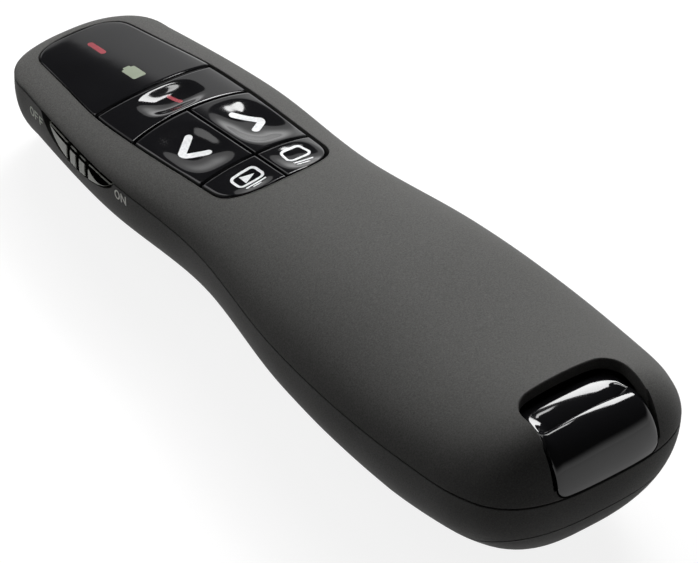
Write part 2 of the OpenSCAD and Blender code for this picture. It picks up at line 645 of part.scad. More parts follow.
// ---- Lower shell ----
post_r = 2.2;
post_hole_r = 0.8;
post_y = [half_l - 30.4, half_l - 19.5];
cradle_y = [half_l - 12.5, half_l - 6.5];
cradle_t = 1.4;
cradle_half = barrel_r + 1.2;
shelf_y = [bay_y0 + 6, y_tray_front - 14];
shelf_l = 8;
module lower_ribs() {
    // bulkhead in front of the door, with the bosses of the case screws against it
    translate([-half_l, y_door_front + door_gap, 0]) cube([body_l, 1.2, bulkhead_top]);
    for (s = [-1, 1]) translate([s * case_screw_x, case_screw_y, 0])
        cylinder(r = head_r + 0.8, h = bulkhead_top);
    // posts for the main board, and two ribs that cradle the laser barrel
    for (y = post_y) translate([0, y, 0]) cylinder(r = post_r, h = board_z);
    for (y = cradle_y) translate([-cradle_half, y - cradle_t / 2, 0])
        cube([2 * cradle_half, cradle_t, laser_z]);
    // shelves under the cheeks of the battery tray
    for (y = shelf_y, s = [-1, 1]) translate([s > 0 ? tray_half - 1 : -half_l, y, cell_z - 1.2])
        cube([half_l - tray_half + 1, shelf_l, 1.2]);
}
module lower_shell() color(charcoal) difference() {
    union() {
        difference() {
            bowl(false);
            door_space(door_gap);
        }
        intersection() {
            core(false, wall / 2, 0);
            difference() {
                lower_ribs();
                door_space(door_gap);
            }
        }
    }
    lens_wall(y_slot_rear, y_slot_front, 0, 3);
    // holes: board screws, case screws with their counterbores, laser aperture and window seat
    for (y = post_y) translate([0, y, board_z - board_screw_l])
        cylinder(r = post_hole_r, h = board_screw_l + 1);
    for (s = [-1, 1]) translate([s * case_screw_x, case_screw_y, 0]) {
        cylinder(r = case_screw_r + 0.1, h = 20);
        cylinder(r = head_r + 0.1, h = seat_z);
    }
    laser_at(half_l + 1) cylinder(r = aperture_r, h = 8);
    laser_at(y_barrel) cylinder(r = barrel_r, h = barrel_l);
    laser_at(y_window + window_t) cylinder(r = window_r, h = window_t + 1);
}

// ---- Screws ----
head_r = 2;
head_h = 1.3;
case_screw_l = 9;
module screw(r, l, hr, hh) {
    cylinder(r = r, h = l);
    translate([0, 0, -hh]) difference() {
        cylinder(r = hr, h = hh);
        for (a = [0, 90]) rotate([0, 0, a]) translate([-hr * 0.6, -0.2, -eps]) cube([hr * 1.2, 0.4, 0.5]);
    }
}
module case_screws() color(steel) for (s = [-1, 1])
    translate([s * case_screw_x, case_screw_y, seat_z]) screw(case_screw_r, case_screw_l, head_r, head_h);
board_screw_l = 6;
board_head_r = 1.6;
board_head_h = 0.9;
module board_screws() color(steel) for (y = post_y)
    translate([0, y, board_z + board_t]) rotate([180, 0, 0])
        screw(post_hole_r, board_screw_l, board_head_r, board_head_h);

// ---- Main board and what it carries ----
board_rear = y_keys_rear + 1.5;
ear_x = case_screw_x - 1.7;
ear_y = case_screw_y + boss_r + 0.2;
board_front = half_l - 6.4;
board_gap = 0.35;
function board_edge(y) = half_w(y) - flange_in - flange_t - board_gap;
board_steps = 10;
module main_board() color(board_green) difference() {
    edge = [for (k = [0:board_steps]) let (y = ear_y + (board_front - ear_y) * k / board_steps)
        [board_edge(y), y]];
    translate([0, 0, board_z]) linear_extrude(board_t) polygon(concat(
        [[-ear_x, ear_y], [-ear_x, board_rear], [ear_x, board_rear], [ear_x, ear_y]], edge,
        [for (k = [board_steps:-1:0]) [-edge[k][0], edge[k][1]]]));
    for (y = post_y) translate([0, y, board_z - 1]) cylinder(r = post_hole_r + 0.1, h = board_t + 2);
}
module radio_chip() color("#222224") translate([2.5, half_l - 41, board_z - 0.9]) cube([5, 5, 0.9]);
module crystal() color(steel) translate([-6.5, half_l - 41, board_z - 0.9]) cube([3.2, 2.5, 0.9]);
module board_parts() color("#b59a6a") for (k = [0:5])
    translate([3 + (k % 2) * 2.4, half_l - 34 + 2 * floor(k / 2), board_z - 0.6]) cube([1.6, 0.8, 0.6]);
module indicator_leds() color("#e9e4d2") for (y = [mark_y - 2, icon_y])
    translate([-0.8, y - 0.5, board_z + board_t]) cube([1.6, 1, 0.7]);

// ---- Battery bay ----
cell_x = cell_r + 0.2;
cell_gap = 0.25;
tray_half = cell_x + cell_r + cell_gap + 1;
tray_top = cell_z + cell_r + cell_gap + 0.6;
module end_wall(y) {
    low = cell_z - 3.7;
    rotate([90, 0, 0]) translate([0, 0, -y - tray_wall]) linear_extrude(tray_wall) polygon([
        [-tray_half, tray_top], [tray_half, tray_top], [tray_half, cell_z + 0.6], [tray_half - 3.9, low],
        [-tray_half + 3.9, low], [-tray_half, cell_z + 0.6]]);
}
module battery_tray() color("#35363a") {
    difference() {
        translate([-tray_half, bay_y0, cell_z]) cube([2 * tray_half, bay_len, tray_top - cell_z]);
        for (s = [-1, 1]) translate([s * cell_x, bay_y0 - 1, cell_z]) rotate([-90, 0, 0])
            cylinder(r = cell_r + cell_gap, h = bay_len + 2);
        // slots for the bridge plate and for the strips of the front contacts
        translate([-cell_x, bay_y0 - 1, cell_z - 1])
            cube([2 * cell_x, contact_t + slot_gap + 1, plate_half + slot_gap + 1]);
        for (s = [-1, 1])
            translate([s * strip_x - strip_w / 2 - slot_gap, y_tray_front - contact_t - slot_gap, cell_z])
                cube([strip_w + 2 * slot_gap, contact_t + slot_gap + 1, tray_top]);
    }
    end_wall(bay_y0 - tray_wall);
    end_wall(y_tray_front);
}
// An AAA cell along +Y with its nub at the far end
nub_l = 1;
module cell() rotate([-90, 0, 0]) {
    color("#2e2f33") cylinder(r = cell_r, h = cell_l - nub_l);
    color(steel) translate([0, 0, cell_l - nub_l]) cylinder(r = 1.9, h = nub_l);
}
module battery_left() translate([-cell_x, y_tray_front - contact_t - cell_l, cell_z]) cell();
module battery_right() translate([cell_x, bay_y0 + contact_t + cell_l, cell_z]) rotate([0, 0, 180]) cell();

plate_half = 3.6;
slot_gap = 0.1;
module plate(x0, x1, y) color(steel) translate([x0, y, cell_z - plate_half])
    cube([x1 - x0, contact_t, 2 * plate_half]);
module bridge_plate() plate(-cell_x - plate_half, cell_x + plate_half, bay_y0);
// Contact at the nose end: its strip runs over the tray's wall and down to the underside of the board
strip_w = 2;
strip_x = cell_x - 2.4;
module front_plate(side) {
    y = y_tray_front - contact_t;
    far = y_tray_front + tray_wall;
    low = board_z - contact_t;
    t = contact_t;
    plate(side * cell_x - plate_half, side * cell_x + plate_half, y);
    color(steel) translate([side * strip_x, 0, 0]) rotate([90, 0, 90])
        linear_extrude(strip_w, center = true) polygon([
            [y, cell_z], [y, tray_top + t], [far + t, tray_top + t], [far + t, board_z],
            [board_rear + 1.5, board_z], [board_rear + 1.5, low], [far, low],
            [far, tray_top], [y + t, tray_top], [y + t, cell_z]]);
}
module positive_plate() front_plate(-1);
module negative_plate() front_plate(1);

// Conical coil spring along +Y: a round wire swept along its helix
wire_r = 0.3;
spring_turns = 3;
module coil(base_r, tip_r, l) {
    steps = 12 * spring_turns;
    sides = 6;
    function centre(k) = let (t = k / steps, a = 360 * spring_turns * t, r = base_r + (tip_r - base_r) * t)
        [r * cos(a), wire_r + (l - 2 * wire_r) * t, r * sin(a)];
    points = [for (k = [0:steps]) let (c = centre(k), a = 360 * spring_turns * k / steps)
        each [for (j = [0:sides - 1]) let (b = 360 * j / sides)
            [c[0] + wire_r * cos(b) * cos(a), c[1] + wire_r * sin(b), c[2] + wire_r * cos(b) * sin(a)]]];
    last = steps * sides;
    polyhedron(points, concat(
        [for (j = [1:sides - 2]) [0, j + 1, j]], [for (j = [1:sides - 2]) [last, last + j, last + j + 1]],
        [for (k = [0:steps - 1]) for (j = [0:sides - 1]) let (
            a = k * sides + j, b = k * sides + (j + 1) % sides, c = a + sides, e = b + sides)
            each [[a, b, e], [a, e, c]]]));
}
module bridge_spring() color(steel) translate([-cell_x, bay_y0 + contact_t, cell_z]) coil(3.1, 1.9, spring_l);
module negative_spring() color(steel) translate([cell_x, y_tray_front - contact_t, cell_z])
    rotate([0, 0, 180]) coil(3.1, 1.9, spring_l);

// ---- Laser module ----
window_t = 0.8;
window_r = 2.4;
y_window = half_l - 2.15;
y_barrel = y_window - 0.4;
module laser_at(y) translate([0, y, laser_z]) rotate([90, 0, 0]) children();
module laser_barrel() color("#b08d4a") laser_at(y_barrel) difference() {
    cylinder(r = barrel_r, h = barrel_l);
    translate([0, 0, -eps]) cylinder(r = aperture_r, h = barrel_l + 1);
    translate([0, 0, -eps]) cylinder(r = lens_r, h = lens_seat + eps);
    translate([0, 0, barrel_l - diode_in]) cylinder(r = diode_r, h = diode_in + 1);
}
lens_r = 2.2;
lens_t = 1.6;
lens_seat = 2;
diode_r = 2.5;
diode_in = 3.5;
module laser_lens() color("#bcd0dc") laser_at(y_barrel - lens_seat + lens_t) cylinder(r = lens_r, h = lens_t);
module laser_diode() color("#a9a49a") laser_at(y_barrel - barrel_l + diode_in) {
    cylinder(r = diode_r, h = 1.2);
    cylinder(r = 1.5, h = 3.2);
}
module laser_window() color("#5a1518") laser_at(y_window + window_t) cylinder(r = window_r, h = window_t);
lead_r = 0.35;
module laser_leads() color("#7a2024") for (s = [-1, 1])
    translate([s * 0.8, y_barrel - barrel_l + 0.3, laser_z]) {
        rotate([90, 0, 0]) cylinder(r = lead_r, h = 1.6);
        translate([0, -1.6, 0]) sphere(r = lead_r);
        translate([0, -1.6, 0]) cylinder(r = lead_r, h = board_z - laser_z);
    }

// ---- Receiver: slides out of the tail along its tilted bay ----
bay_z = part_tail + 0.25;
module in_bay() translate([0, -half_l, bay_z]) rotate([-bay_tilt, 0, 0]) children();
cap_half = notch_half - bay_gap;
crest_y = -half_l + 4.95;
lip_y = -half_l + 9.7;
lip_drop = 0.35;
valley = 0.8;
scoop_half = 5.2;
scoop_end = 2.2;
function bay_floor(y) = bay_z - (y + half_l) * tan(bay_tilt);
function tail_y(x) = let (t = clamp(abs(x) / (tail_w / 2), 0, 1))
    -(half_l - tail_round) - tail_round * pow(1 - pow(t, tail_sq), 1 / tail_sq);
function crest_at(x) = crest_z - 0.01 * x * x;
// The scoop is a ramp that steepens down to the valley, with a short wall up to the crest behind it
function scoop(x, y) = let (t = clamp((lip_y - y) / (lip_y - crest_y), 0, 1),
    fall = t < valley ? pow(t / valley, 2.4) : smooth((1 - t) / (1 - valley)))
    crest_at(x) - lip_drop * (1 - t) - scoop_d * fall * (1 - smooth((abs(x) - scoop_half) / scoop_end));
// Behind the crest the cap falls in a quarter oval to the parting line
function cap_back(x, y) = let (t = clamp((crest_y - y) / (crest_y - tail_y(x)), 0, 1))
    bay_z + (crest_at(x) - bay_z) * sqrt(1 - t * t);
// The side edges roll over into the notch
roll_r = 1.2;
roll_d = 0.16;
function cap_top(x, y) = let (e = clamp((abs(x) - cap_half + roll_r) / roll_r, 0, 1),
    z = y > crest_y ? scoop(x, y) : cap_back(x, y))
    z - (z - bay_floor(y)) * roll_d * (1 - sqrt(1 - e * e * 0.96));
cap_lip = 0.3;
// The cap is drawn along its bay, from the front of the receiver body's collar to the body's outline
stick_y0 = notch_l - 0.65;
function bay_y(y, z) = (y + half_l) * cos(bay_tilt) - (z - bay_z) * sin(bay_tilt);
function bay_top(x, y, n = 6, z = stick_h) = n == 0 ? z : bay_top(x, y, n - 1, (z
    + (cap_top(x, -half_l + y * cos(bay_tilt) + z * sin(bay_tilt)) - bay_z + y * sin(bay_tilt))
    / cos(bay_tilt)) / 2);
// Rear end of the cap: on the body's outline, and further in where a round lower corner lifts it
function cap_rear(x) = let (rise = corner_rise(x, cap_half) + cap_lip, k = rise / (crest_at(x) - bay_z))
    bay_y(crest_y + (tail_y(x) + 0.05 - crest_y) * sqrt(1 - k * k), bay_z + rise);
cap_crest = bay_y(crest_y, crest_z);
cap_front_rows = 9;
cap_rows = 16;
cap_cols = 16;
edge_cols = 2;
edge_share = 0.13;
// Columns crowd towards the two sides, where the edges roll over
function cap_x(u) = let (k = 2 * u - 1, e = 1 - 2 * edge_cols / cap_cols)
    cap_half * (abs(k) < e ? k * (1 - edge_share) / e : sign(k) * (1 - edge_share * (1 - abs(k)) / (1 - e)));
function cap_y(x, v) = let (j = round(v * cap_rows))
    j <= cap_front_rows ? stick_y0 + (cap_crest - stick_y0) * j / cap_front_rows
    : cap_crest + (cap_rear(x) - cap_crest) * sin(90 * (j - cap_front_rows) / (cap_rows - cap_front_rows));
module receiver_cap() color(gloss_black) in_bay() sheet(cap_cols, cap_rows,
    function (u, v) cap_x(u), function (u, v) cap_y(cap_x(u), v),
    function (x, y) max(bay_top(x, y), corner_rise(x, cap_half) + cap_lip),
    function (x, y) corner_rise(x, cap_half));

module box_tube(w, h, l, r) rotate([-90, 0, 0]) translate([0, -h / 2, 0]) linear_extrude(l) {
    translate([-w / 2 + r, -h / 2]) square([w - 2 * r, h]);
    translate([-w / 2, -h / 2 + r]) square([w, h - 2 * r]);
    for (sx = [-1, 1], sy = [-1, 1]) translate([sx * (w / 2 - r), sy * (h / 2 - r)]) circle(r = r, $fn = 24);
}
usb_w = 12;
usb_h = 4.5;
usb_l = 12.2;
usb_t = 0.3;
usb_z = (stick_h - usb_h) / 2;
module receiver_body() color(gloss_black) in_bay() difference() {
    translate([0, stick_y0, 0]) box_tube(stick_w, stick_h, stick_l - stick_y0, 1.2);
    translate([0, stick_y0 + stick_wall, stick_wall]) box_tube(stick_w - 2 * stick_wall,
        stick_h - 2 * stick_wall, stick_l - stick_y0 - 2 * stick_wall, 0.4);
    translate([-usb_w / 2, stick_l - 2, usb_z]) cube([usb_w, 4, usb_h]);
}
module usb_shell() color(steel) in_bay() difference() {
    translate([-usb_w / 2, stick_l - stick_wall, usb_z]) cube([usb_w, usb_l + stick_wall, usb_h]);
    translate([-usb_w / 2 + usb_t, stick_l - 2, usb_z + usb_t])
        cube([usb_w - 2 * usb_t, usb_l + 4, usb_h - 2 * usb_t]);
    for (x = [-3.5, 1]) translate([x, stick_l + 5, usb_z + 2]) cube([2.5, 2, 4]);
}
tongue_t = 1.8;
module usb_tongue() color("#eeeeea") in_bay() translate([-usb_w / 2 + usb_t, stick_l, usb_z + usb_t])
    cube([usb_w - 2 * usb_t, usb_l - 0.4, tongue_t]);
module usb_contacts() color("#c8a24a") in_bay() for (k = [0:3])
    translate([-4 + k * 2.33, stick_l + 2.6, usb_z + usb_t + tongue_t]) cube([1, usb_l - 3.4, 0.15]);
module receiver_board() color(board_green) in_bay() translate([-5, stick_y0 + 3, stick_wall + 0.05])
    cube([10, stick_l - stick_y0 - 3, 0.8]);
module receiver_chip() color("#222224") in_bay() translate([-2.5, stick_y0 + 14, stick_wall + 0.85])
    cube([5, 5, 0.9]);

// Ramp on the battery tray with a rail each side, for the receiver to slide in
rail_h = 3.4;
rail_y0 = -half_l + stick_y0 + 0.5;
module receiver_bay() color("#35363a") {
    y0 = bay_y0 - tray_wall;
    y1 = -half_l + stick_l + 4;
    ramp = function (y) bay_floor(y) - bay_gap;
    y_end = -half_l + 3.2;
    slope = [[y0, tray_top], [y1, tray_top], [y1, ramp(y1)], [y_end, ramp(y_end)], [y_end, ramp(y_end) - 1.2],
        [y0, ramp(y_end) - 1.2]];
    rotate([90, 0, 90]) linear_extrude(stick_w + 4, center = true) polygon(slope);
    for (s = [-1, 1]) translate([s * (stick_w / 2 + bay_gap + 0.6), 0, 0]) rotate([90, 0, 90])
        linear_extrude(1.2, center = true)
        polygon([[rail_y0, ramp(rail_y0) - eps], [y1, ramp(y1) - eps], [y1, ramp(y1) + rail_h],
            [rail_y0, ramp(rail_y0) + rail_h]]);
}

upper_shell();
lower_shell();
battery_door();
front_panel();
laser_indicator();
battery_indicator();
laser_key();
back_key();
forward_key();
play_key();
blank_key();
laser_plunger();
back_plunger();
forward_plunger();
play_plunger();
blank_plunger();
key_switches();
main_board();
radio_chip();
crystal();
board_parts();
indicator_leds();
board_screws();
case_screws();
power_slider();
slide_switch();
switch_actuator();
battery_tray();
battery_left();
battery_right();
bridge_plate();
bridge_spring();
negative_plate();
negative_spring();
positive_plate();
laser_barrel();
laser_lens();
laser_diode();
laser_window();
laser_leads();
receiver_bay();
receiver_cap();
receiver_body();
usb_shell();
usb_tongue();
usb_contacts();
receiver_board();
receiver_chip();
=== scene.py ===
"""Visual model of a hand-held wireless presentation clicker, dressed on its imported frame.

Lengths in the classes are millimetres; a finished piece's mesh is in metres. +Y points to the nose,
+Z up through the keys and +X to the right.
"""
from __future__ import annotations

import json
import logging
import math
from dataclasses import dataclass, field
from enum import Enum
from typing import Callable, Iterable, Sequence

import bmesh
import bpy
from mathutils import Matrix, Vector


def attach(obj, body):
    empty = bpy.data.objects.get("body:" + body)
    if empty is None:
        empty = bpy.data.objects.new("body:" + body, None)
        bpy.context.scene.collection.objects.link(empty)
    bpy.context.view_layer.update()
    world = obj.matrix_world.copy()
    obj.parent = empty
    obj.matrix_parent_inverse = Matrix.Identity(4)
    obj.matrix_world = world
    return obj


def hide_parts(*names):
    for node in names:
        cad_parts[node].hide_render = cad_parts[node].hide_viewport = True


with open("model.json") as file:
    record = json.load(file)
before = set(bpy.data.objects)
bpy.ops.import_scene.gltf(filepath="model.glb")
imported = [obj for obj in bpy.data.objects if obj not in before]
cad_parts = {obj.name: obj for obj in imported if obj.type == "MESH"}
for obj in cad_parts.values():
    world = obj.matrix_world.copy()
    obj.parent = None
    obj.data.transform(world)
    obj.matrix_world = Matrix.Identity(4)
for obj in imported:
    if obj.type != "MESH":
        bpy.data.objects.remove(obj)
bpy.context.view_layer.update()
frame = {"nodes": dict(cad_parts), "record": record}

LOG = logging.getLogger("clicker")
MM = 0.001
WHITE = (1.0, 1.0, 1.0, 1.0)
CROWN_STEPS = 7  # rounds of the search for the outline ring through a place
ROUND_SHARE = 0.6  # share of a cap's grid that lies before its round end
ABOVE, BELOW, BESIDE = 34.0, -3.0, 30.0  # heights over and under the whole body, and a place beyond its sides
Point = tuple[float, float]
Line = tuple[Point, ...]
Tone = tuple[float, float, float]
Spot = tuple[float, float, float]
Place = Callable[[float, float], Sequence[float]]
Height = Callable[[float, float], float]


# --------------------------------------------------------------------------------------------------
# Finishes
# --------------------------------------------------------------------------------------------------
class Slot(Enum):
    """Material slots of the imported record."""

    SOFT = "charcoal_soft_touch"
    GLOSS = "gloss_black"
    SLIDER = "slider_grey"
    RED_LENS = "red_lens"
    GREEN_LENS = "grey_green_lens"
    INNER = "inner_plastic"
    IVORY = "ivory_plastic"
    SWITCH = "switch_black"
    BOARD = "board_green"
    CHIP = "chip_black"
    STEEL = "steel"
    NICKEL = "nickel"
    GOLD = "gold"
    BRASS = "brass"
    JACKET = "cell_jacket"
    GLASS = "lens_glass"
    RED_GLASS = "red_filter"
    WIRE = "wire_red"
    TAN = "part_tan"


class Graph:
    """A node tree under construction."""

    def __init__(self, owner: bpy.types.Material | bpy.types.World) -> None:
        """Start with an empty tree.

        Args:
            owner: the material or the world that the tree belongs to.
        """
        owner.use_nodes = True
        self.tree = owner.node_tree
        self.tree.nodes.clear()

    def node(self, kind: str, inputs: dict | None = None, **settings: object) -> bpy.types.Node:
        """Add a node.

        Args:
            kind: node type without its ShaderNode prefix.
            inputs: values or sockets for its inputs, by name or number.
            settings: attributes of the node.

        Returns:
            The new node.
        """
        made = self.tree.nodes.new("ShaderNode" + kind)
        for key, value in settings.items():
            setattr(made, key, value)
        for key, value in (inputs or {}).items():
            self.feed(made.inputs[key], value)
        return made

    def feed(self, socket: bpy.types.NodeSocket, value: object) -> None:
        """Link a socket to another, or set its value.

        Args:
            socket: input socket.
            value: output socket or constant.
        """
        if isinstance(value, bpy.types.NodeSocket):
            self.tree.links.new(value, socket)
        else:
            socket.default_value = value

    def rays(self, *kinds: str) -> bpy.types.NodeSocket:
        """Tell rays of some kinds from the others.

        Args:
            kinds: output names of the light path node.

        Returns:
            A socket that is 1 for a ray of one of the kinds, else 0.
        """
        path = self.node("LightPath")
        found = path.outputs[kinds[0]]
        for kind in kinds[1:]:
            found = self.node("Math", {0: found, 1: path.outputs[kind]}, operation="MAXIMUM").outputs[0]
        return found

    def choose(self, factor: bpy.types.NodeSocket, first: bpy.types.NodeSocket,
               second: bpy.types.NodeSocket) -> bpy.types.NodeSocket:
        """Take the first shader where the factor is 0 and the second where it is 1."""
        return self.node("MixShader", {0: factor, 1: first, 2: second}).outputs[0]


class Shader(Graph):
    """A material under construction around one Principled shader."""

    def __init__(self, name: str) -> None:
        """Start a material.

        Args:
            name: name of the material.
        """
        self.material = bpy.data.materials.new(name)
        super().__init__(self.material)
        self.bsdf = self.node("BsdfPrincipled")
        self.node("OutputMaterial", {0: self.bsdf.outputs[0]})
        self.coords = self.node("TexCoord").outputs["Object"]

    def set(self, **values: object) -> None:
        """Set inputs of the Principled shader, with spaces written as underscores."""
        for key, value in values.items():
            self.feed(self.bsdf.inputs[key.replace("_", " ")], value)

    def noise(self, scale: float, detail: float = 2.0, roughness: float = 0.5) -> bpy.types.NodeSocket:
        """Noise over the object's own coordinates.

        Args:
            scale: cycles per metre.
            detail: octaves.
            roughness: weight of the fine octaves.

        Returns:
            The noise's value socket.
        """
        return self.node("TexNoise", {"Vector": self.coords, "Scale": scale, "Detail": detail,
                                      "Roughness": roughness}).outputs[0]

    def span(self, value: bpy.types.NodeSocket, low: float, high: float, to_low: float,
             to_high: float) -> bpy.types.NodeSocket:
        """Map a value from one range to another, clamped."""
        return self.node("MapRange", {0: value, 1: low, 2: high, 3: to_low, 4: to_high}).outputs[0]

    def blend(self, factor: bpy.types.NodeSocket, first: Sequence[float],
              second: Sequence[float]) -> bpy.types.NodeSocket:
        """Mix two colours.

        Args:
            factor: 0 for the first, 1 for the second.
            first: first colour.
            second: second colour.

        Returns:
            The colour's socket.
        """
        mix = self.node("Mix", data_type="RGBA")
        self.feed(mix.inputs[0], factor)
        self.feed(mix.inputs[6], (*first, 1.0))
        self.feed(mix.inputs[7], (*second, 1.0))
        return mix.outputs[2]

    def mottle(self, pattern: bpy.types.NodeSocket, tone: Tone, dark: float, light: float, low: float = 0.3,
               high: float = 0.7) -> None:
        """Give the Principled shader a tone that varies with a pattern.

        Args:
            pattern: value socket.
            tone: middle tone.
            dark: factor of the tone where the pattern is low.
            light: factor of the tone where it's high.
            low: value of the pattern that counts as low.
            high: value that counts as high.
        """
        share = self.span(pattern, low, high, 0.0, 1.0)
        self.set(Base_Color=self.blend(share, shade(tone, dark), shade(tone, light)))

    def wear(self, pattern: bpy.types.NodeSocket, least: float, most: float, low: float = 0.3,
             high: float = 0.7) -> None:
        """Give the Principled shader a roughness that varies with a pattern."""
        self.set(Roughness=self.span(pattern, low, high, least, most))

    def bump(self, height: bpy.types.NodeSocket, distance: float, strength: float) -> None:
        """Give the Principled shader a bump.

        Args:
            height: height socket.
            distance: height of a full step, in metres.
            strength: strength from 0 to 1.
        """
        made = self.node("Bump", {"Height": height, "Distance": distance, "Strength": strength})
        self.feed(self.bsdf.inputs["Normal"], made.outputs[0])


def shade(colour: Sequence[float], factor: float) -> Tone:
    """Scale a colour, kept between 0 and 1."""
    return tuple(clamp(part * factor) for part in colour)


@dataclass(frozen=True)
class SoftTouch:
    """Rubbery paint with a fine speckle and a dusty sheen."""

    name: str
    tone: Tone
    speckle: float = 0.3
    roughness: float = 0.62
    sheen: float = 0.1
    grain: float = 5200.0
    cloud: float = 60.0

    def build(self) -> bpy.types.Material:
        """Build the material.

        Returns:
            The material.
        """
        s = Shader(self.name)
        grain = s.noise(self.grain, 3.0, 0.7)
        s.mottle(grain, self.tone, 1 - self.speckle, 1 + self.speckle)
        s.wear(s.noise(self.cloud, 3.0), self.roughness - 0.03, self.roughness + 0.04)
        s.set(Specular_IOR_Level=self.sheen)
        s.bump(grain, 0.00002, 0.35)
        return s.material


@dataclass(frozen=True)
class Gloss:
    """Polished moulding with faint wipe marks in its lacquer."""

    name: str
    tone: Tone
    roughness: float = 0.06
    coat: float = 0.0
    smear: float = 90.0
    ripple: float = 420.0

    def build(self) -> bpy.types.Material:
        """Build the material.

        Returns:
            The material.
        """
        s = Shader(self.name)
        smear = s.noise(self.smear, 4.0, 0.6)
        s.mottle(smear, self.tone, 0.85, 1.15)
        s.wear(smear, self.roughness, self.roughness + 0.035, 0.35, 0.75)
        s.set(Coat_Weight=self.coat, Coat_Roughness=0.04)
        s.bump(s.noise(self.ripple, 1.0), 0.00002, 0.08)
        return s.material


@dataclass(frozen=True)
class Moulded:
    """Plain moulded plastic with a fine spark-eroded grain."""

    name: str
    tone: Tone
    roughness: float = 0.45
    sheen: float = 0.5
    grain: float = 2400.0
    cloud: float = 150.0

    def build(self) -> bpy.types.Material:
        """Build the material.

        Returns:
            The material.
        """
        s = Shader(self.name)
        fine = s.noise(self.grain, 2.0, 0.6)
        s.mottle(fine, self.tone, 0.9, 1.1, 0.35, 0.65)
        s.wear(s.noise(self.cloud), self.roughness - 0.05, self.roughness + 0.06)
        s.set(Specular_IOR_Level=self.sheen)
        s.bump(fine, 0.00003, 0.25)
        return s.material


@dataclass(frozen=True)
class Plated:
    """Plated or turned metal with fine lines along one axis."""

    name: str
    tone: Tone
    roughness: float = 0.25
    lines: Spot = (600.0, 30.0, 600.0)

    def build(self) -> bpy.types.Material:
        """Build the material.

        Returns:
            The material.
        """
        s = Shader(self.name)
        stretched = s.node("Mapping", {"Vector": s.coords, "Scale": self.lines}).outputs[0]
        lines = s.node("TexNoise", {"Vector": stretched, "Scale": 5.0, "Detail": 3.0}).outputs[0]
        s.mottle(lines, self.tone, 0.9, 1.08)
        s.wear(lines, self.roughness - 0.05, self.roughness + 0.1)
        s.set(Metallic=1.0)
        s.bump(lines, 0.00001, 0.2)
        return s.material


@dataclass(frozen=True)
class SolderMask:
    """Printed board: lacquer over faint copper tracks."""

    name: str
    tone: Tone
    track_scale: float = 420.0

    def build(self) -> bpy.types.Material:
        """Build the material.

        Returns:
            The material.
        """
        s = Shader(self.name)
        cells = s.node("TexVoronoi", {"Vector": s.coords, "Scale": self.track_scale}, distance="MANHATTAN",
                       feature="F1").outputs["Distance"]
        tracks = s.span(cells, 0.42, 0.5, 0.0, 1.0)
        s.set(Base_Color=s.blend(tracks, self.tone, shade(self.tone, 1.9)))
        s.set(Roughness=0.28)
        s.bump(tracks, 0.00003, 0.3)
        return s.material


@dataclass(frozen=True)
class ClearPane:
    """Clear or tinted glass-like plastic."""

    name: str
    tone: Tone
    depth: float = 1.0

    def build(self) -> bpy.types.Material:
        """Build the material.

        Returns:
            The material.
        """
        s = Shader(self.name)
        haze = s.noise(300.0, 2.0)
        s.set(Base_Color=s.blend(haze, shade(self.tone, 0.94), self.tone))
        s.wear(haze, 0.03, 0.08)
        s.set(Transmission_Weight=self.depth, IOR=1.49)
        return s.material


@dataclass(frozen=True)
class CellJacket:
    """Printed film of a battery: dark body with a paler band at its plus end.

    The band starts between the two stations of band_y, in metres from the middle of the compartment.
    """

    name: str
    tone: Tone
    band: Tone
    band_y: Point = (-0.0115, -0.0113)

    def build(self) -> bpy.types.Material:
        """Build the material.

        Returns:
            The material.
        """
        s = Shader(self.name)
        along = s.node("SeparateXYZ", {0: s.coords}).outputs[1]
        s.set(Base_Color=s.blend(s.span(along, *self.band_y, 0.0, 1.0), self.tone, self.band))
        s.wear(s.noise(200.0), 0.22, 0.34)
        s.set(Metallic=0.2)
        s.bump(s.noise(1500.0), 0.00001, 0.1)
        return s.material


Finish = SoftTouch | Gloss | Moulded | Plated | SolderMask | ClearPane | CellJacket


def finishes() -> dict[Slot, bpy.types.Material]:
    """Build one material for each slot of the record.

    Returns:
        The materials by slot.
    """
    made: dict[Slot, Finish] = {
        Slot.SOFT: SoftTouch("charcoal soft touch", (0.096, 0.095, 0.092)),
        Slot.GLOSS: Gloss("piano black", (0.006, 0.006, 0.007)),
        Slot.SLIDER: Moulded("slider grey", (0.3, 0.31, 0.27), 0.38),
        Slot.RED_LENS: Gloss("red light window", (0.33, 0.055, 0.07), 0.2),
        Slot.GREEN_LENS: Gloss("grey green light window", (0.28, 0.32, 0.24), 0.25),
        Slot.INNER: Moulded("inner black", (0.02, 0.02, 0.022)),
        Slot.IVORY: Moulded("ivory", (0.72, 0.69, 0.6), 0.4),
        Slot.SWITCH: Moulded("switch black", (0.02, 0.02, 0.021), 0.35),
        Slot.BOARD: SolderMask("solder mask", (0.015, 0.12, 0.05)),
        Slot.CHIP: Moulded("chip epoxy", (0.016, 0.016, 0.017), 0.55),
        Slot.STEEL: Plated("zinc steel", (0.62, 0.63, 0.65), 0.3, (400.0, 400.0, 400.0)),
        Slot.NICKEL: Plated("nickel", (0.72, 0.7, 0.66), 0.18),
        Slot.GOLD: Plated("contact gold", (0.83, 0.62, 0.27), 0.2),
        Slot.BRASS: Plated("turned brass", (0.72, 0.52, 0.24), 0.25),
        Slot.JACKET: CellJacket("cell film", (0.018, 0.02, 0.03), (0.5, 0.34, 0.16)),
        Slot.GLASS: ClearPane("clear lens", (0.9, 0.95, 0.97)),
        Slot.RED_GLASS: ClearPane("red filter", (0.55, 0.03, 0.04), 0.8),
        Slot.WIRE: Moulded("red insulation", (0.42, 0.03, 0.03), 0.4),
        Slot.TAN: Moulded("fired ceramic", (0.45, 0.33, 0.19), 0.4),
    }
    return {slot: finish.build() for slot, finish in made.items()}


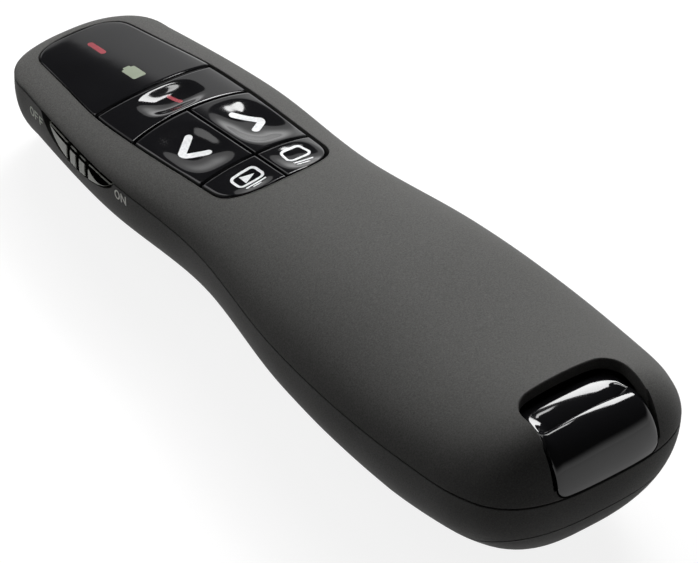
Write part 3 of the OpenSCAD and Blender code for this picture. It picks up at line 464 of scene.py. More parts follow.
# --------------------------------------------------------------------------------------------------
# Numbers and curves
# --------------------------------------------------------------------------------------------------
def clamp(value: float, low: float = 0.0, high: float = 1.0) -> float:
    """Keep a value between two limits."""
    return min(max(value, low), high)


def smooth(value: float) -> float:
    """Ease from 0 to 1 with level ends."""
    t = clamp(value)
    return t * t * (3 - 2 * t)


def power(base: float, exponent: float) -> float:
    """Raise a value, taken as 0 where it is negative."""
    return max(0.0, base) ** exponent


def round_off(distance: float, radius: float) -> float:
    """Drop of a rounded edge at a distance from the side it rounds."""
    return radius * (1 - math.sqrt(1 - clamp(1 - distance / radius) ** 2))


def ring(count: int, radius: float, middle: Point = (0.0, 0.0)) -> list[Point]:
    """Points of a circle, anticlockwise."""
    turns = (2 * math.pi * k / count for k in range(count))
    return [(middle[0] + radius * math.cos(a), middle[1] + radius * math.sin(a)) for a in turns]


def across(low: float, high: float, share: float) -> float:
    """The value at a share of the way from one to another."""
    return low + (high - low) * share


def bunched(share: float, edge: float = 0.12) -> float:
    """Move shares towards both ends, so that a grid is denser there."""
    return (1 - edge * 2) * share + edge * (1 - math.cos(math.pi * share)) if edge else share


class Curve:
    """Smooth curve through stations, with the slope at each shared between its two spans."""

    def __init__(self, stations: Sequence[float], values: Sequence[float]) -> None:
        """Work out the slopes.

        Args:
            stations: increasing places.
            values: the curve's value at each.
        """
        self.stations, self.values = list(stations), list(values)
        steps = [b - a for a, b in zip(stations, stations[1:])]
        chords = [(b - a) / h for a, b, h in zip(values, values[1:], steps)]
        inner = [(chords[i - 1] * steps[i] + chords[i] * steps[i - 1]) / (steps[i] + steps[i - 1])
                 for i in range(1, len(steps))]
        self.slopes = [1.5 * chords[0] - 0.5 * inner[0], *inner, 1.5 * chords[-1] - 0.5 * inner[-1]]

    def at(self, place: float) -> float:
        """Value of the curve.

        Args:
            place: where; beyond the ends the curve is held.

        Returns:
            The value.
        """
        p = clamp(place, self.stations[0], self.stations[-1])
        i = max(0, min(len(self.stations) - 2, sum(s <= p for s in self.stations) - 1))
        h = self.stations[i + 1] - self.stations[i]
        t = (p - self.stations[i]) / h
        u = t * t * (3 - 2 * t)
        return ((1 - u) * self.values[i] + u * self.values[i + 1]
                + t * (1 - t) ** 2 * h * self.slopes[i] - t * t * (1 - t) * h * self.slopes[i + 1])


# --------------------------------------------------------------------------------------------------
# The body's form
# --------------------------------------------------------------------------------------------------
@dataclass
class BodyForm:
    """Outer form shared by the shells, the door, the keys and the front panel."""

    half_l: float = 57.75
    wall: float = 1.6
    part_gap: float = 0.2
    tail_round: float = 14.4
    nose_round: float = 8.4
    tail_sq: float = 2.9
    nose_sq: float = 2.55
    crown: tuple[float, float] = (2.3, 1.57)
    keel: tuple[float, float] = (2.05, 2.25)
    spine_tail: float = 9.25
    spine_nose: float = 2.2
    spine_soft: float = 1.5
    nose_share: float = 0.17
    tail_share: float = 0.24
    width: Curve = field(default_factory=lambda: Curve(
        (-50, -32, -12, 8, 30, 50), (17.5, 18.75, 17.7, 14.55, 14.5, 11.85)))
    top: Curve = field(default_factory=lambda: Curve(
        (-57.75, -38, -15, 10, 35, 57.75), (29.6, 25.3, 24.8, 21.5, 17.9, 14.5)))
    part: Curve = field(default_factory=lambda: Curve(
        (-57.75, -38, -15, 10, 35, 57.75), (17.55, 16.9, 16.0, 15.8, 14.8, 13.3)))
    belly: Curve = field(default_factory=lambda: Curve(
        (-57.75, -38, -15, 10, 35, 57.75), (5.1, 0.35, 0.25, 2.4, 0.6, 0.0)))

    def half_w(self, y: float, inset: float = 0.0) -> float:
        """Half width of the plan outline.

        Args:
            y: station.
            inset: distance inside the outer surface.

        Returns:
            The half width.
        """
        tail = clamp((-(self.half_l - inset - self.tail_round) - y) / self.tail_round)
        nose = clamp((y - (self.half_l - inset - self.nose_round)) / self.nose_round)
        return ((self.width.at(y) - inset) * power(1 - tail ** self.tail_sq, 1 / self.tail_sq)
                * power(1 - nose ** self.nose_sq, 1 / self.nose_sq))

    def spine(self, y: float) -> float:
        """Place on the spine that the ring through a station shrinks towards.

        Args:
            y: station of the ring.

        Returns:
            The station on the spine.
        """
        soft = self.spine_soft
        low, high = -self.half_l + self.spine_tail, self.half_l - self.spine_nose
        first = high - soft * math.log1p(math.exp((high - y) / soft))
        return low + soft * math.log1p(math.exp((first - low) / soft))

    def crown_z(self, x: float, y: float) -> float:
        """Height of the crown.

        Args:
            x: place across.
            y: station.

        Returns:
            The height.
        """
        guess = y
        for _ in range(CROWN_STEPS):
            share = clamp(abs(x) / max(self.half_w(guess), 0.1))
            m = self.spine(guess)
            guess = clamp(guess + y - (m + (guess - m) * share), -self.half_l, self.half_l)
        share = clamp(abs(x) / max(self.half_w(guess), 0.1))
        rise = power(1 - share ** self.crown[0], 1 / self.crown[1])
        return self.part.at(guess) * (1 - rise) + self.top.at(y) * rise

    def side_x(self, y: float, z: float) -> float:
        """Half width of the lower shell on the straight part of the body.

        Args:
            y: station.
            z: height.

        Returns:
            The half width.
        """
        rim = self.part.at(y) - self.part_gap
        share = clamp((rim - z) / (rim - max(self.belly.at(y), 0.0)))
        return self.half_w(y) * power(1 - share ** self.keel[1], 1 / self.keel[0])

    def outline_y(self, t: float, inset: float) -> float:
        """Station of a point on one side of the outline.

        Args:
            t: way from the nose at 0 to the tail at 1.
            inset: distance inside the outer surface.

        Returns:
            The station.
        """
        high = self.half_l - inset - self.nose_round
        low = -(self.half_l - inset - self.tail_round)
        if t < self.nose_share:
            k = t / self.nose_share
            return high + self.nose_round * power(math.cos(math.pi / 2 * k), 2 / self.nose_sq)
        if t > 1 - self.tail_share:
            k = (t - 1 + self.tail_share) / self.tail_share
            return low - self.tail_round * power(math.sin(math.pi / 2 * k), 2 / self.tail_sq)
        return high + (low - high) * (t - self.nose_share) / (1 - self.nose_share - self.tail_share)

    def point(self, around: float, angle: float, is_top: bool, inset: float, lift: float = 0.0) -> Vector:
        """A point of the upper or lower surface.

        Args:
            around: way round the outline, from 0 to 1, starting at the nose.
            angle: from 0 at the parting line to 90 at the crown or keel.
            is_top: upper surface or lower one.
            inset: distance inside the outer surface.
            lift: extra height at the parting line.

        Returns:
            The point in millimetres.
        """
        side, t = (1, around * 2) if around <= 0.5 else (-1, 2 - around * 2)
        y = self.outline_y(t, inset)
        squares = self.crown if is_top else self.keel
        a = math.radians(angle)
        share = power(math.cos(a), 2 / squares[0]) if angle < 90 else 0.0
        rise = power(math.sin(a), 2 / squares[1])
        m = self.spine(y)
        station = m + (y - m) * share
        end = self.top.at(station) - inset if is_top else max(self.belly.at(station), 0.0) + inset
        return Vector((side * self.half_w(y, inset) * share, station,
                       (self.part.at(y) + lift) * (1 - rise) + end * rise))


# --------------------------------------------------------------------------------------------------
# Mesh helpers
# --------------------------------------------------------------------------------------------------
def patch(columns: int, rows: int, place: Place) -> bmesh.types.BMesh:
    """A grid whose points are placed by a function of two shares from 0 to 1.

    Args:
        columns: faces along the first share.
        rows: faces along the second share.
        place: gives a point for two shares.

    Returns:
        The new mesh.
    """
    bm = bmesh.new()
    bmesh.ops.create_grid(bm, x_segments=columns, y_segments=rows, size=1.0)
    for vert in bm.verts:
        u = round((vert.co.x + 1) / 2 * columns) / columns
        v = round((vert.co.y + 1) / 2 * rows) / rows
        vert.co = Vector(place(u, v))
    return bm


def enter(name: str, data: bpy.types.ID) -> bpy.types.Object:
    """Add an object to the scene.

    Args:
        name: its name.
        data: its mesh, light or camera.

    Returns:
        The object.
    """
    made = bpy.data.objects.new(name, data)
    bpy.context.scene.collection.objects.link(made)
    return made


def stand(name: str, bm: bmesh.types.BMesh) -> bpy.types.Object:
    """Add a mesh to the scene as an object.

    Args:
        name: its name.
        bm: the mesh; it is used up.

    Returns:
        The object.
    """
    mesh = bpy.data.meshes.new(name)
    bm.to_mesh(mesh)
    bm.free()
    return enter(name, mesh)


def thicken(bm: bmesh.types.BMesh, outwards: Vector, thickness: float) -> bmesh.types.BMesh:
    """Turn a sheet's faces one way and give it a thickness.

    Args:
        bm: the sheet.
        outwards: the way that its faces are to look.
        thickness: the thickness.

    Returns:
        The same mesh.
    """
    bmesh.ops.recalc_face_normals(bm, faces=bm.faces)
    for face in bm.faces:
        if face.normal.dot(outwards) < 0:
            face.normal_flip()
    bmesh.ops.solidify(bm, geom=bm.faces[:], thickness=thickness)
    return bm


def close(bm: bmesh.types.BMesh, tolerance: float = 1e-4) -> bmesh.types.BMesh:
    """Merge coincident points and turn all faces outwards.

    Args:
        bm: the mesh.
        tolerance: distance within which points are one.

    Returns:
        The same mesh.
    """
    bmesh.ops.remove_doubles(bm, verts=bm.verts, dist=tolerance)
    bmesh.ops.dissolve_degenerate(bm, dist=tolerance / 10, edges=bm.edges)
    bmesh.ops.recalc_face_normals(bm, faces=bm.faces)
    return bm


def absorb(whole: bmesh.types.BMesh, part: bmesh.types.BMesh) -> None:
    """Add one mesh to another.

    Args:
        whole: the mesh that grows.
        part: the mesh to add; it is used up.
    """
    mesh = bpy.data.meshes.new("part")
    part.to_mesh(mesh)
    part.free()
    whole.from_mesh(mesh)
    bpy.data.meshes.remove(mesh)


def skirt(bm: bmesh.types.BMesh, move: Callable[[Vector], None]) -> None:
    """Extrude the rim of a patch, move the new points and close them off.

    Args:
        bm: the patch, which becomes a closed solid.
        move: changes the place of a new point.
    """
    rim = [edge for edge in bm.edges if edge.is_boundary]
    made = bmesh.ops.extrude_edge_only(bm, edges=rim)["geom"]
    for vert in (g for g in made if isinstance(g, bmesh.types.BMVert)):
        move(vert.co)
    bmesh.ops.holes_fill(bm, edges=[g for g in made if isinstance(g, bmesh.types.BMEdge)], sides=0)


def tube(loops: Sequence[Sequence[Sequence[float]]]) -> bmesh.types.BMesh:
    """A closed solid through a stack of loops with equally many points.

    Args:
        loops: the loops, from one end to the other.

    Returns:
        The solid.
    """
    count, rows = len(loops[0]), len(loops) - 1
    bm = patch(count, rows, lambda u, v: loops[round(v * rows)][round(u * count) % count])
    bmesh.ops.remove_doubles(bm, verts=bm.verts, dist=1e-5)
    bmesh.ops.holes_fill(bm, edges=bm.edges, sides=0)
    return close(bm, 1e-5)


def grown(loop: Sequence[Point], distance: float) -> list[Point]:
    """A plan loop moved outwards.

    Args:
        loop: its corners, anticlockwise.
        distance: how far.

    Returns:
        The moved corners.
    """
    count, moved = len(loop), []
    for i, (x, y) in enumerate(loop):
        ax, ay = loop[i - 1]
        bx, by = loop[(i + 1) % count]
        dx, dy = bx - ax, by - ay
        size = math.hypot(dx, dy) or 1.0
        moved.append((x + dy / size * distance, y - dx / size * distance))
    return moved


def pit(loop: Sequence[Point], floor: float, surface: Height, radius: float,
        steps: int = 4) -> bmesh.types.BMesh:
    """A cutter for an opening whose upper edge is rounded where it meets a surface.

    Args:
        loop: plan outline, anticlockwise.
        floor: height of the cutter's flat bottom.
        surface: height of the surface over a place.
        radius: radius of the rounded edge.
        steps: faces across the rounded edge.

    Returns:
        The cutter.
    """
    profile = [(0.0, radius)] + [(radius * (1 - math.cos(math.pi / 2 * k / steps)),
                                  radius * (1 - math.sin(math.pi / 2 * k / steps))) for k in range(1, steps)]
    profile += [(radius, -0.01), (radius * 1.1 + 0.02, -0.2)]
    heights = [surface(x, y) for x, y in loop]
    loops = [[(x, y, floor) for x, y in loop]]
    for out, down in profile:
        loops.append([(x, y, z - down) for (x, y), z in zip(grown(loop, out), heights)])
    loops.append([(x, y, max(heights) + 3) for x, y in grown(loop, radius * 1.2 + 0.05)])
    return tube(loops)


def combine(base: bmesh.types.BMesh, tools: Iterable[bmesh.types.BMesh],
            keep_common: bool = False) -> bmesh.types.BMesh:
    """Cut a solid with others, or keep what it shares with them.

    Args:
        base: the solid; it is used up.
        tools: the cutters; they are used up.
        keep_common: keep the common part.

    Returns:
        The result.
    """
    body, *cutters = (stand("cutting", bm) for bm in (base, *tools))
    for cutter in cutters:
        step = body.modifiers.new("cut", "BOOLEAN")
        step.operation = "INTERSECT" if keep_common else "DIFFERENCE"
        step.solver = "EXACT"
        step.object = cutter
    depsgraph = bpy.context.evaluated_depsgraph_get()
    result = bmesh.new()
    result.from_mesh(body.evaluated_get(depsgraph).to_mesh())
    for spare in (body, *cutters):
        mesh = spare.data
        bpy.data.objects.remove(spare)
        bpy.data.meshes.remove(mesh)
    bmesh.ops.remove_doubles(result, verts=result.verts, dist=1e-4)
    bmesh.ops.dissolve_degenerate(result, dist=1e-5, edges=result.edges)
    return result


@dataclass
class Piece:
    """A finished piece and how it joins the frame."""

    name: str
    body: str
    slot: Slot
    replaces: tuple[str, ...] = ()
    sharp: float = 32.0

    def publish(self, bm: bmesh.types.BMesh, material: bpy.types.Material) -> bpy.types.Object:
        """Turn a mesh in millimetres into an object that rides on its body.

        Args:
            bm: the mesh; it is used up.
            material: the finish.

        Returns:
            The new object.
        """
        bmesh.ops.scale(bm, vec=(MM, MM, MM), verts=bm.verts)
        made = stand(self.name, bm)
        mesh = made.data
        mesh.polygons.foreach_set("use_smooth", [True] * len(mesh.polygons))
        mesh.set_sharp_from_angle(angle=math.radians(self.sharp))
        mesh.materials.append(material)
        weighted = made.modifiers.new("even shading", "WEIGHTED_NORMAL")
        weighted.keep_sharp = True
        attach(made, self.body)
        if self.replaces:
            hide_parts(*self.replaces)
        LOG.info("piece %s: %d faces on %s", self.name, len(mesh.polygons), self.body)
        return made


# --------------------------------------------------------------------------------------------------
# Shells and battery door
# --------------------------------------------------------------------------------------------------
@dataclass
class Shells:
    """Upper shell, lower shell and battery door."""

    form: BodyForm
    finish: bpy.types.Material
    around: int = 264
    notch_half: float = 8.1
    notch_l: float = 10.55
    notch_corner: float = 3.0
    notch_low_r: float = 1.5
    door_front: float = 3.9
    door_z: float = 4.6
    door_rise: float = 7.1
    door_lift: float = 17.8
    door_gap: float = 0.2
    slot_rear: float = 25.85
    slot_front: float = 45.05
    slot_d: float = 4.0
    slot_deepest: float = 0.62
    slot_powers: Point = (0.6, 0.75)
    slot_inner: float = 3.0
    screws: Point = (8.2, 6.9)
    screw_bore: Point = (2.1, 7.2)
    finger_grooves: tuple[float, ...] = (-10.15, -7.75, -5.35)
    finger_groove_r: float = 1.1
    finger_groove_half: float = 6.0
    finger_groove_low: float = 0.6
    laser_r: float = 1.6
    laser_z: float = 8.2
    laser_mouth: Line = ((50.0, 0.0), (57.3, 0.0), (58.2, 0.7))
    opening_floor: float = 11.4
    opening_round: float = 0.28
    notch_round: float = 0.3
    rim: Line = ((0.0, 0.14), (0.03, 0.06), (0.09, 0.015), (0.18, 0.0))

    def bowl(self, is_top: bool) -> bmesh.types.BMesh:
        """A hollow half body with a rounded rim.

        Args:
            is_top: the upper half.

        Returns:
            The half body.
        """
        sign, shift = (1, 0.0) if is_top else (-1, -self.form.part_gap)
        stack = [(0.0, angle, shift) for angle in (*range(90, 6, -4), 7, 4)]
        stack += [(inset, 0, shift + sign * back) for inset, back in self.rim]
        stack += [(self.form.wall, angle, shift) for angle in range(0, 91, 10)]
        rows = len(stack) - 1

        def place(u: float, v: float) -> Vector:
            """A point of the skin: round the outline, then over the rim to the inside."""
            inset, angle, lift = stack[round(v * rows)]
            return self.form.point(u, angle, is_top, inset, lift)

        return close(patch(self.around, rows, place), 2e-4)

    def notch_loop(self) -> list[Point]:
        """Plan outline of the notch for the receiver cap, open beyond the tail.

        Returns:
            Its corners, anticlockwise.
        """
        r, front = self.notch_corner, -self.form.half_l + self.notch_l
        back = -self.form.half_l - 5
        right = [(self.notch_half, back + (front - r - back) * k / 24) for k in range(25)]
        right += ring(32, r, (self.notch_half - r, front - r))[1:9]
        edge = [((self.notch_half - r) * (1 - k / 6), front) for k in range(1, 6)]
        half = right + edge + [(0.0, front)]
        bottom = [(-self.notch_half + 2 * self.notch_half * k / 12, back) for k in range(1, 12)]
        return half + [(-x, y) for x, y in reversed(half[:-1])] + bottom

    def notch_cutter(self) -> bmesh.types.BMesh:
        """Cutter of the notch, down to the parting line, with round lower corners.

        Returns:
            The cutter.
        """
        r, half, low = self.notch_low_r, self.notch_half, self.form.part.at(-self.form.half_l)
        side = [(half + r, ABOVE), (half + r, low + r)]
        side += [(x, 2 * (low + r) - z) for x, z in ring(32, r, (half - r, low + r))[:9]]
        side += [(half - r - 0.01, low - 4)]
        loop = side + [(-x, z) for x, z in reversed(side)]
        back, front = -self.form.half_l - 7, -self.form.half_l + self.notch_l + 3
        tunnel = tube([[(x, y, z) for x, z in loop] for y in (back, front)])
        cutter = pit(self.notch_loop(), low - 3, self.notch_surface, self.notch_round)
        return combine(cutter, [tunnel], keep_common=True)

    def notch_surface(self, x: float, y: float) -> float:
        """Height at which the notch's edge is rounded."""
        return self.form.crown_z(clamp(x, -self.notch_half, self.notch_half), y)

    def door_edge(self, y: float) -> float:
        """Height of the edge between the door and the lower shell."""
        lift_y = -self.form.half_l + self.door_lift
        return self.door_z + self.door_rise * smooth((lift_y - y) / self.door_lift)

    def door_prism(self, gap: float) -> bmesh.types.BMesh:
        """Space of the battery door.

        Args:
            gap: how far it's grown.

        Returns:
            The space as a solid.
        """
        front, lift_y, rear = self.door_front + gap, -self.form.half_l + self.door_lift, -self.form.half_l - 6
        ys = [lift_y - self.door_lift * k / 20 for k in range(21)]
        edge = [(front, BELOW), (front, self.door_z + gap)]
        edge += [(y, self.door_edge(y) + gap) for y in ys]
        edge += [(rear, self.door_z + self.door_rise + gap), (rear, BELOW)]
        return tube([[(x, y, z) for y, z in edge] for x in (-BESIDE, BESIDE)])

    def slot_depth(self, y: float) -> float:
        """Depth of the slider's slot below the parting line.

        Args:
            y: station.

        Returns:
            The depth.
        """
        deep = across(self.slot_rear, self.slot_front, self.slot_deepest)
        if y > deep:
            return self.slot_d * power(1 - ((y - deep) / (self.slot_front - deep)) ** 2, self.slot_powers[1])
        return self.slot_d * power(1 - ((deep - y) / (deep - self.slot_rear)) ** 2, self.slot_powers[0])

    def slot_prism(self) -> bmesh.types.BMesh:
        """Cutter of the slider's slot through the left wall.

        Returns:
            The cutter.
        """
        count = 40
        ys = [across(self.slot_rear, self.slot_front, k / count) for k in range(count + 1)]
        low = [(y, self.form.part.at(y) - self.form.part_gap - max(self.slot_depth(y), 0.02)) for y in ys]
        high = [(y, self.form.part.at(y) + 2.0) for y in reversed(ys)]
        return tube([[(x, y, z) for y, z in low + high] for x in (-BESIDE, -self.slot_inner)])

    def peg(self, x: float, y: float, radius: float, top: float) -> bmesh.types.BMesh:
        """Upright round cutter from below the belly to a height."""
        return tube([[(px, py, z) for px, py in ring(40, radius, (x, y))] for z in (-2.0, top)])

    def lying_peg(self, y: float, z: float, radius: float, half: float) -> bmesh.types.BMesh:
        """Round cutter that lies along X."""
        return tube([[(x, py, pz) for py, pz in ring(32, radius, (y, z))] for x in (-half, half)])

    def aperture(self) -> bmesh.types.BMesh:
        """Round cutter of the laser aperture in the nose, wider at its mouth."""
        rows = [(y, ring(40, self.laser_r + wider, (0.0, self.laser_z))) for y, wider in self.laser_mouth]
        return tube([[(x, y, z) for x, z in row] for y, row in rows])

    def build(self, opening: list[Point]) -> None:
        """Make the three pieces.

        Args:
            opening: plan outline of the opening for the keys and the front panel.
        """
        window = pit(opening, self.opening_floor, self.form.crown_z, self.opening_round)
        upper = combine(self.bowl(True), [window, self.notch_cutter()])
        Piece("upper_skin", "housing", Slot.SOFT, ("upper_shell",)).publish(upper, self.finish)
        cutters = [self.door_prism(self.door_gap), self.slot_prism(), self.aperture()]
        cutters += [self.peg(side * self.screws[0], self.screws[1], *self.screw_bore) for side in (-1, 1)]
        lower = combine(self.bowl(False), cutters)
        Piece("lower_skin", "housing", Slot.SOFT, ("lower_shell",)).publish(lower, self.finish)
        door = combine(self.bowl(False), [self.door_prism(0.0)], keep_common=True)
        places = [(y, max(self.form.belly.at(y), 0.0) - self.finger_groove_low) for y in self.finger_grooves]
        door = combine(door, [self.lying_peg(*place, self.finger_groove_r, self.finger_groove_half)
                              for place in places])
        Piece("door_skin", "door", Slot.SOFT, ("battery_door",)).publish(door, self.finish)


# --------------------------------------------------------------------------------------------------
# Keys and front panel
# --------------------------------------------------------------------------------------------------
class Key(Enum):
    """The five keys, by the body each rides on."""

    LASER = "laser_button"
    BACK = "back_button"
    FORWARD = "forward_button"
    PLAY = "play_button"
    BLANK = "blank_button"


@dataclass
class KeyField:
    """Keys, front panel and the signs on them."""

    form: BodyForm
    gloss: bpy.types.Material
    print_white: bpy.types.Material
    red: bpy.types.Material
    green: bpy.types.Material
    rim: bpy.types.Material
    gap: float = 0.42
    seam: float = 0.17
    keys_half: float = 9.8
    panel_half: float = 7.4
    keys_rear: float = 7.25
    arrow_seam: float = 14.7
    laser_seam: float = 28.85
    panel_rear: float = 37.15
    panel_front: float = 55.6
    rear_round: float = 5.0
    rear_sq: float = 2.6
    front_round: float = 3.4
    front_sq: float = 2.8
    dish_d: float = 0.9
    dish_sq: float = 2.8
    arrow_dish: tuple[Point, Point] = ((4.7, 7.0), (4.35, 6.45))
    laser_dish: tuple[Point, Point] = ((0.0, -3.9), (5.2, 3.4))
    small_dish: tuple[Point, Point] = ((4.2, 3.85), (3.7, 3.2))
    key_drop: float = 0.15
    key_t: float = 1.8
    key_round: float = 0.3
    panel_t: float = 1.0
    panel_round: float = 0.4
    panel_gap: float = 0.1
    seam_bow: float = 0.9
    seam_drop: float = 0.3
    corner_start: float = 0.12
    panel_end: float = 0.97
    bead_r: float = 0.12
    bead_out: float = 0.07
    bead_sink: float = 0.09
    print_t: float = 0.08

    def __post_init__(self) -> None:
        """Draw the curve of the opening's sides."""
        self.sides = Curve(
            (self.keys_rear, self.arrow_seam, self.laser_seam, self.panel_rear, 45.75, 50.75,
             self.panel_front),
            (self.keys_half - 0.9, self.keys_half - 0.6, self.keys_half, self.keys_half - 0.15,
             self.keys_half - 1.35, self.panel_half + 0.35, self.panel_half - 0.35))

    def half(self, y: float) -> float:
        """Half width of the opening.

        Args:
            y: station.

        Returns:
            The half width.
        """
        rear = clamp((self.keys_rear + self.rear_round - y) / self.rear_round)
        front = clamp((y - self.panel_front + self.front_round) / self.front_round)
        return (self.sides.at(y) * power(1 - rear ** self.rear_sq, 1 / self.rear_sq)
                * power(1 - front ** self.front_sq, 1 / self.front_sq))

    def rear_row(self, share: float) -> float:
        """Stations that crowd towards the rear end, for shares from 0 to 1."""
        crowded = power(math.cos(math.pi / 2 * share), 2 / self.rear_sq)
        return self.keys_rear + self.rear_round * (1 - crowded)

    def front_row(self, share: float) -> float:
        """Stations that crowd towards the front end, for shares from 0 to 1."""
        crowded = power(math.cos(math.pi / 2 * share), 2 / self.front_sq)
        return self.panel_front - self.front_round * (1 - crowded)

    def opening(self) -> list[Point]:
        """Plan outline of the whole opening.

        Returns:
            Its corners, anticlockwise from the middle of its rear edge.
        """
        turn, side = 16, 40
        ys = [self.rear_row(k / turn) for k in range(turn + 1)]
        low, high = ys[-1], self.panel_front - self.front_round
        ys += [low + (high - low) * k / side for k in range(1, side)]
        ys += [self.front_row(1 - k / turn) for k in range(turn + 1)]
        right = [(self.half(y), y) for y in ys]
        return right + [(-x, y) for x, y in reversed(right[1:-1])]

    def seam_y(self, x: float) -> float:
        """Station of the bowed seam behind the laser key."""
        return self.laser_seam + self.seam_bow * (1 - (x / self.keys_half) ** 2) - self.seam_drop

    def dish(self, x: float, y: float, middle: Point, half: Point, depth: float) -> float:
        """Depth of a rounded-rectangular bowl with a soft rim at a place."""
        q = (abs((x - middle[0]) / half[0]) ** self.dish_sq + abs((y - middle[1]) / half[1]) ** self.dish_sq)
        return depth * (1 - min(1.0, q)) ** 2

    def key_top(self, x: float, y: float) -> float:
        """Height of the key tops.

        Args:
            x: place across.
            y: station.

        Returns:
            The height.
        """
        sunk = (self.dish(abs(x), y - self.arrow_seam, *self.arrow_dish, self.dish_d)
                + self.dish(x, y - self.panel_rear, *self.laser_dish, self.dish_d)
                + self.dish(abs(x), y - self.keys_rear, *self.small_dish, self.dish_d / 2))
        return self.form.crown_z(x, y) - self.key_drop - sunk

    def cap(self, columns: int, rows: int, plan: Callable[[float, float], Point], top: Height,
            edge: float, thick: float) -> bmesh.types.BMesh:
        """A cap with rounded upper edges over a plan patch.

        Args:
            columns: faces across.
            rows: faces along.
            plan: gives a place in plan for two shares.
            top: height over a place.
            edge: radius of the upper edges.
            thick: depth of the sides.

        Returns:
            The mesh.
        """
        def place(u: float, v: float) -> Spot:
            """A point of the cap's top.

            Args:
                u: share across.
                v: share along.

            Returns:
                The point.
            """
            su, sv = bunched(u), bunched(v)
            x, y = plan(su, sv)
            left, right = plan(0.0, sv)[0], plan(1.0, sv)[0]
            rear, front = plan(su, 0.0)[1], plan(su, 1.0)[1]
            near = [min(x - left, right - x), min(y - rear, front - y)]
            drops = [round_off(distance, edge) for distance in near]
            return x, y, top(x, y) - min(edge, math.hypot(*drops))

        def sink(co: Vector) -> None:
            """Move a point down to the foot of the sides."""
            co.z += edge - thick

        bm = patch(columns, rows, place)
        skirt(bm, sink)
        return close(bm, 2e-4)

    def key_plan(self, key: Key) -> Callable[[float, float], Point]:
        """Plan patch of a key.

        Args:
            key: the key.

        Returns:
            A function from the left rear corner at (0, 0) to the right front one at (1, 1).
        """
        is_right = key in (Key.FORWARD, Key.BLANK)
        turn = self.keys_rear + self.rear_round + self.gap

        def between(u: float, outer: float) -> float:
            """Place across a key of a pair, from its left side to its right."""
            return across(self.seam, outer, u) if is_right else across(-outer, -self.seam, u)

        def laser(u: float, v: float) -> Point:
            """Place in the laser key.

            Args:
                u: share across.
                v: share along.

            Returns:
                The place.
            """
            seam_y = self.seam_y((2 * u - 1) * (self.keys_half - self.gap))
            y = across(seam_y + self.seam, self.panel_rear - self.seam, v)
            return (2 * u - 1) * (self.half(y) - self.gap), y

        def arrow(u: float, v: float) -> Point:
            """Place in the back or the forward key."""
            y = across(self.arrow_seam + self.seam, self.seam_y(between(u, self.keys_half)) - self.seam, v)
            return between(u, self.half(y) - self.gap), y

        def small(u: float, v: float) -> Point:
            """Place in the play or the blank key, whose outer rear corner is round.

            Args:
                u: share across.
                v: share along.

            Returns:
                The place.
            """
            y = (self.rear_row(across(self.corner_start, 1.0, v / ROUND_SHARE)) + self.gap if v < ROUND_SHARE
                 else across(turn, self.arrow_seam - self.seam, (v - ROUND_SHARE) / (1 - ROUND_SHARE)))
            return between(u, self.half(y - self.gap) - self.gap), y

        return {Key.LASER: laser, Key.BACK: arrow, Key.FORWARD: arrow, Key.PLAY: small, Key.BLANK: small}[key]

    def panel_plan(self, u: float, v: float) -> Point:
        """Place in the front panel.

        Args:
            u: share across.
            v: share along.

        Returns:
            The place.
        """
        rear, turn = self.panel_rear, self.panel_front - self.front_round
        y = (across(rear, turn, v / ROUND_SHARE) if v < ROUND_SHARE
             else self.front_row(1 - (v - ROUND_SHARE) / (1 - ROUND_SHARE) * self.panel_end))
        return (2 * u - 1) * (self.half(y) - self.panel_gap), y - (self.panel_gap if v > ROUND_SHARE else 0.0)

    def decal(self, bm: bmesh.types.BMesh, surface: Height, lift: float = 0.02) -> bmesh.types.BMesh:
        """Lay a flat mesh on a surface and give it a little thickness.

        Args:
            bm: the mesh in plan.
            surface: height over a place.
            lift: height of the print over it.

        Returns:
            The same mesh.
        """
        for vert in bm.verts:
            vert.co.z = surface(vert.co.x, vert.co.y) + lift
        return thicken(bm, Vector((0, 0, 1)), self.print_t)

    def build(self) -> None:
        """Make the keys, the panel and the signs."""
        for key in Key:
            name = key.name.lower()
            rows = 64 if key in (Key.BACK, Key.FORWARD) else 48
            bm = self.cap(64, rows, self.key_plan(key), self.key_top, self.key_round, self.key_t)
            Piece(name + "_cap", key.value, Slot.GLOSS, (name + "_key",)).publish(bm, self.gloss)
        panel = self.cap(64, 96, self.panel_plan, self.form.crown_z, self.panel_round, self.panel_t)
        Piece("panel_pane", "housing", Slot.GLOSS, ("front_panel",)).publish(panel, self.gloss)
        Signs(self).build()
        edge = [(x, y, self.form.crown_z(x, y) - self.bead_sink)
                for x, y in grown(self.opening(), self.bead_out)]
        Piece("opening_edge", "housing", Slot.SOFT).publish(bead(edge, self.bead_r), self.rim)


def softened(points: Sequence[Point], radius: float) -> list[Point]:
    """An open line with an arc in place of each inner corner.

    Args:
        points: the line's corners.
        radius: radius of the arcs.

    Returns:
        The line.
    """
    line = [points[0]]
    for before, corner, after in zip(points, points[1:], points[2:]):
        a, c, b = (Vector(p) for p in (before, corner, after))
        to_a, to_b = (a - c).normalized(), (b - c).normalized()
        half = to_a.angle(to_b) / 2
        reach, middle = radius / math.tan(half), (to_a + to_b).normalized()
        centre = c + middle * radius / math.sin(half)
        start, end = c + to_a * reach - centre, c + to_b * reach - centre
        line += [tuple(centre + start.slerp(end, k / 8).normalized() * radius) for k in range(9)]
    return [*line, points[-1]]


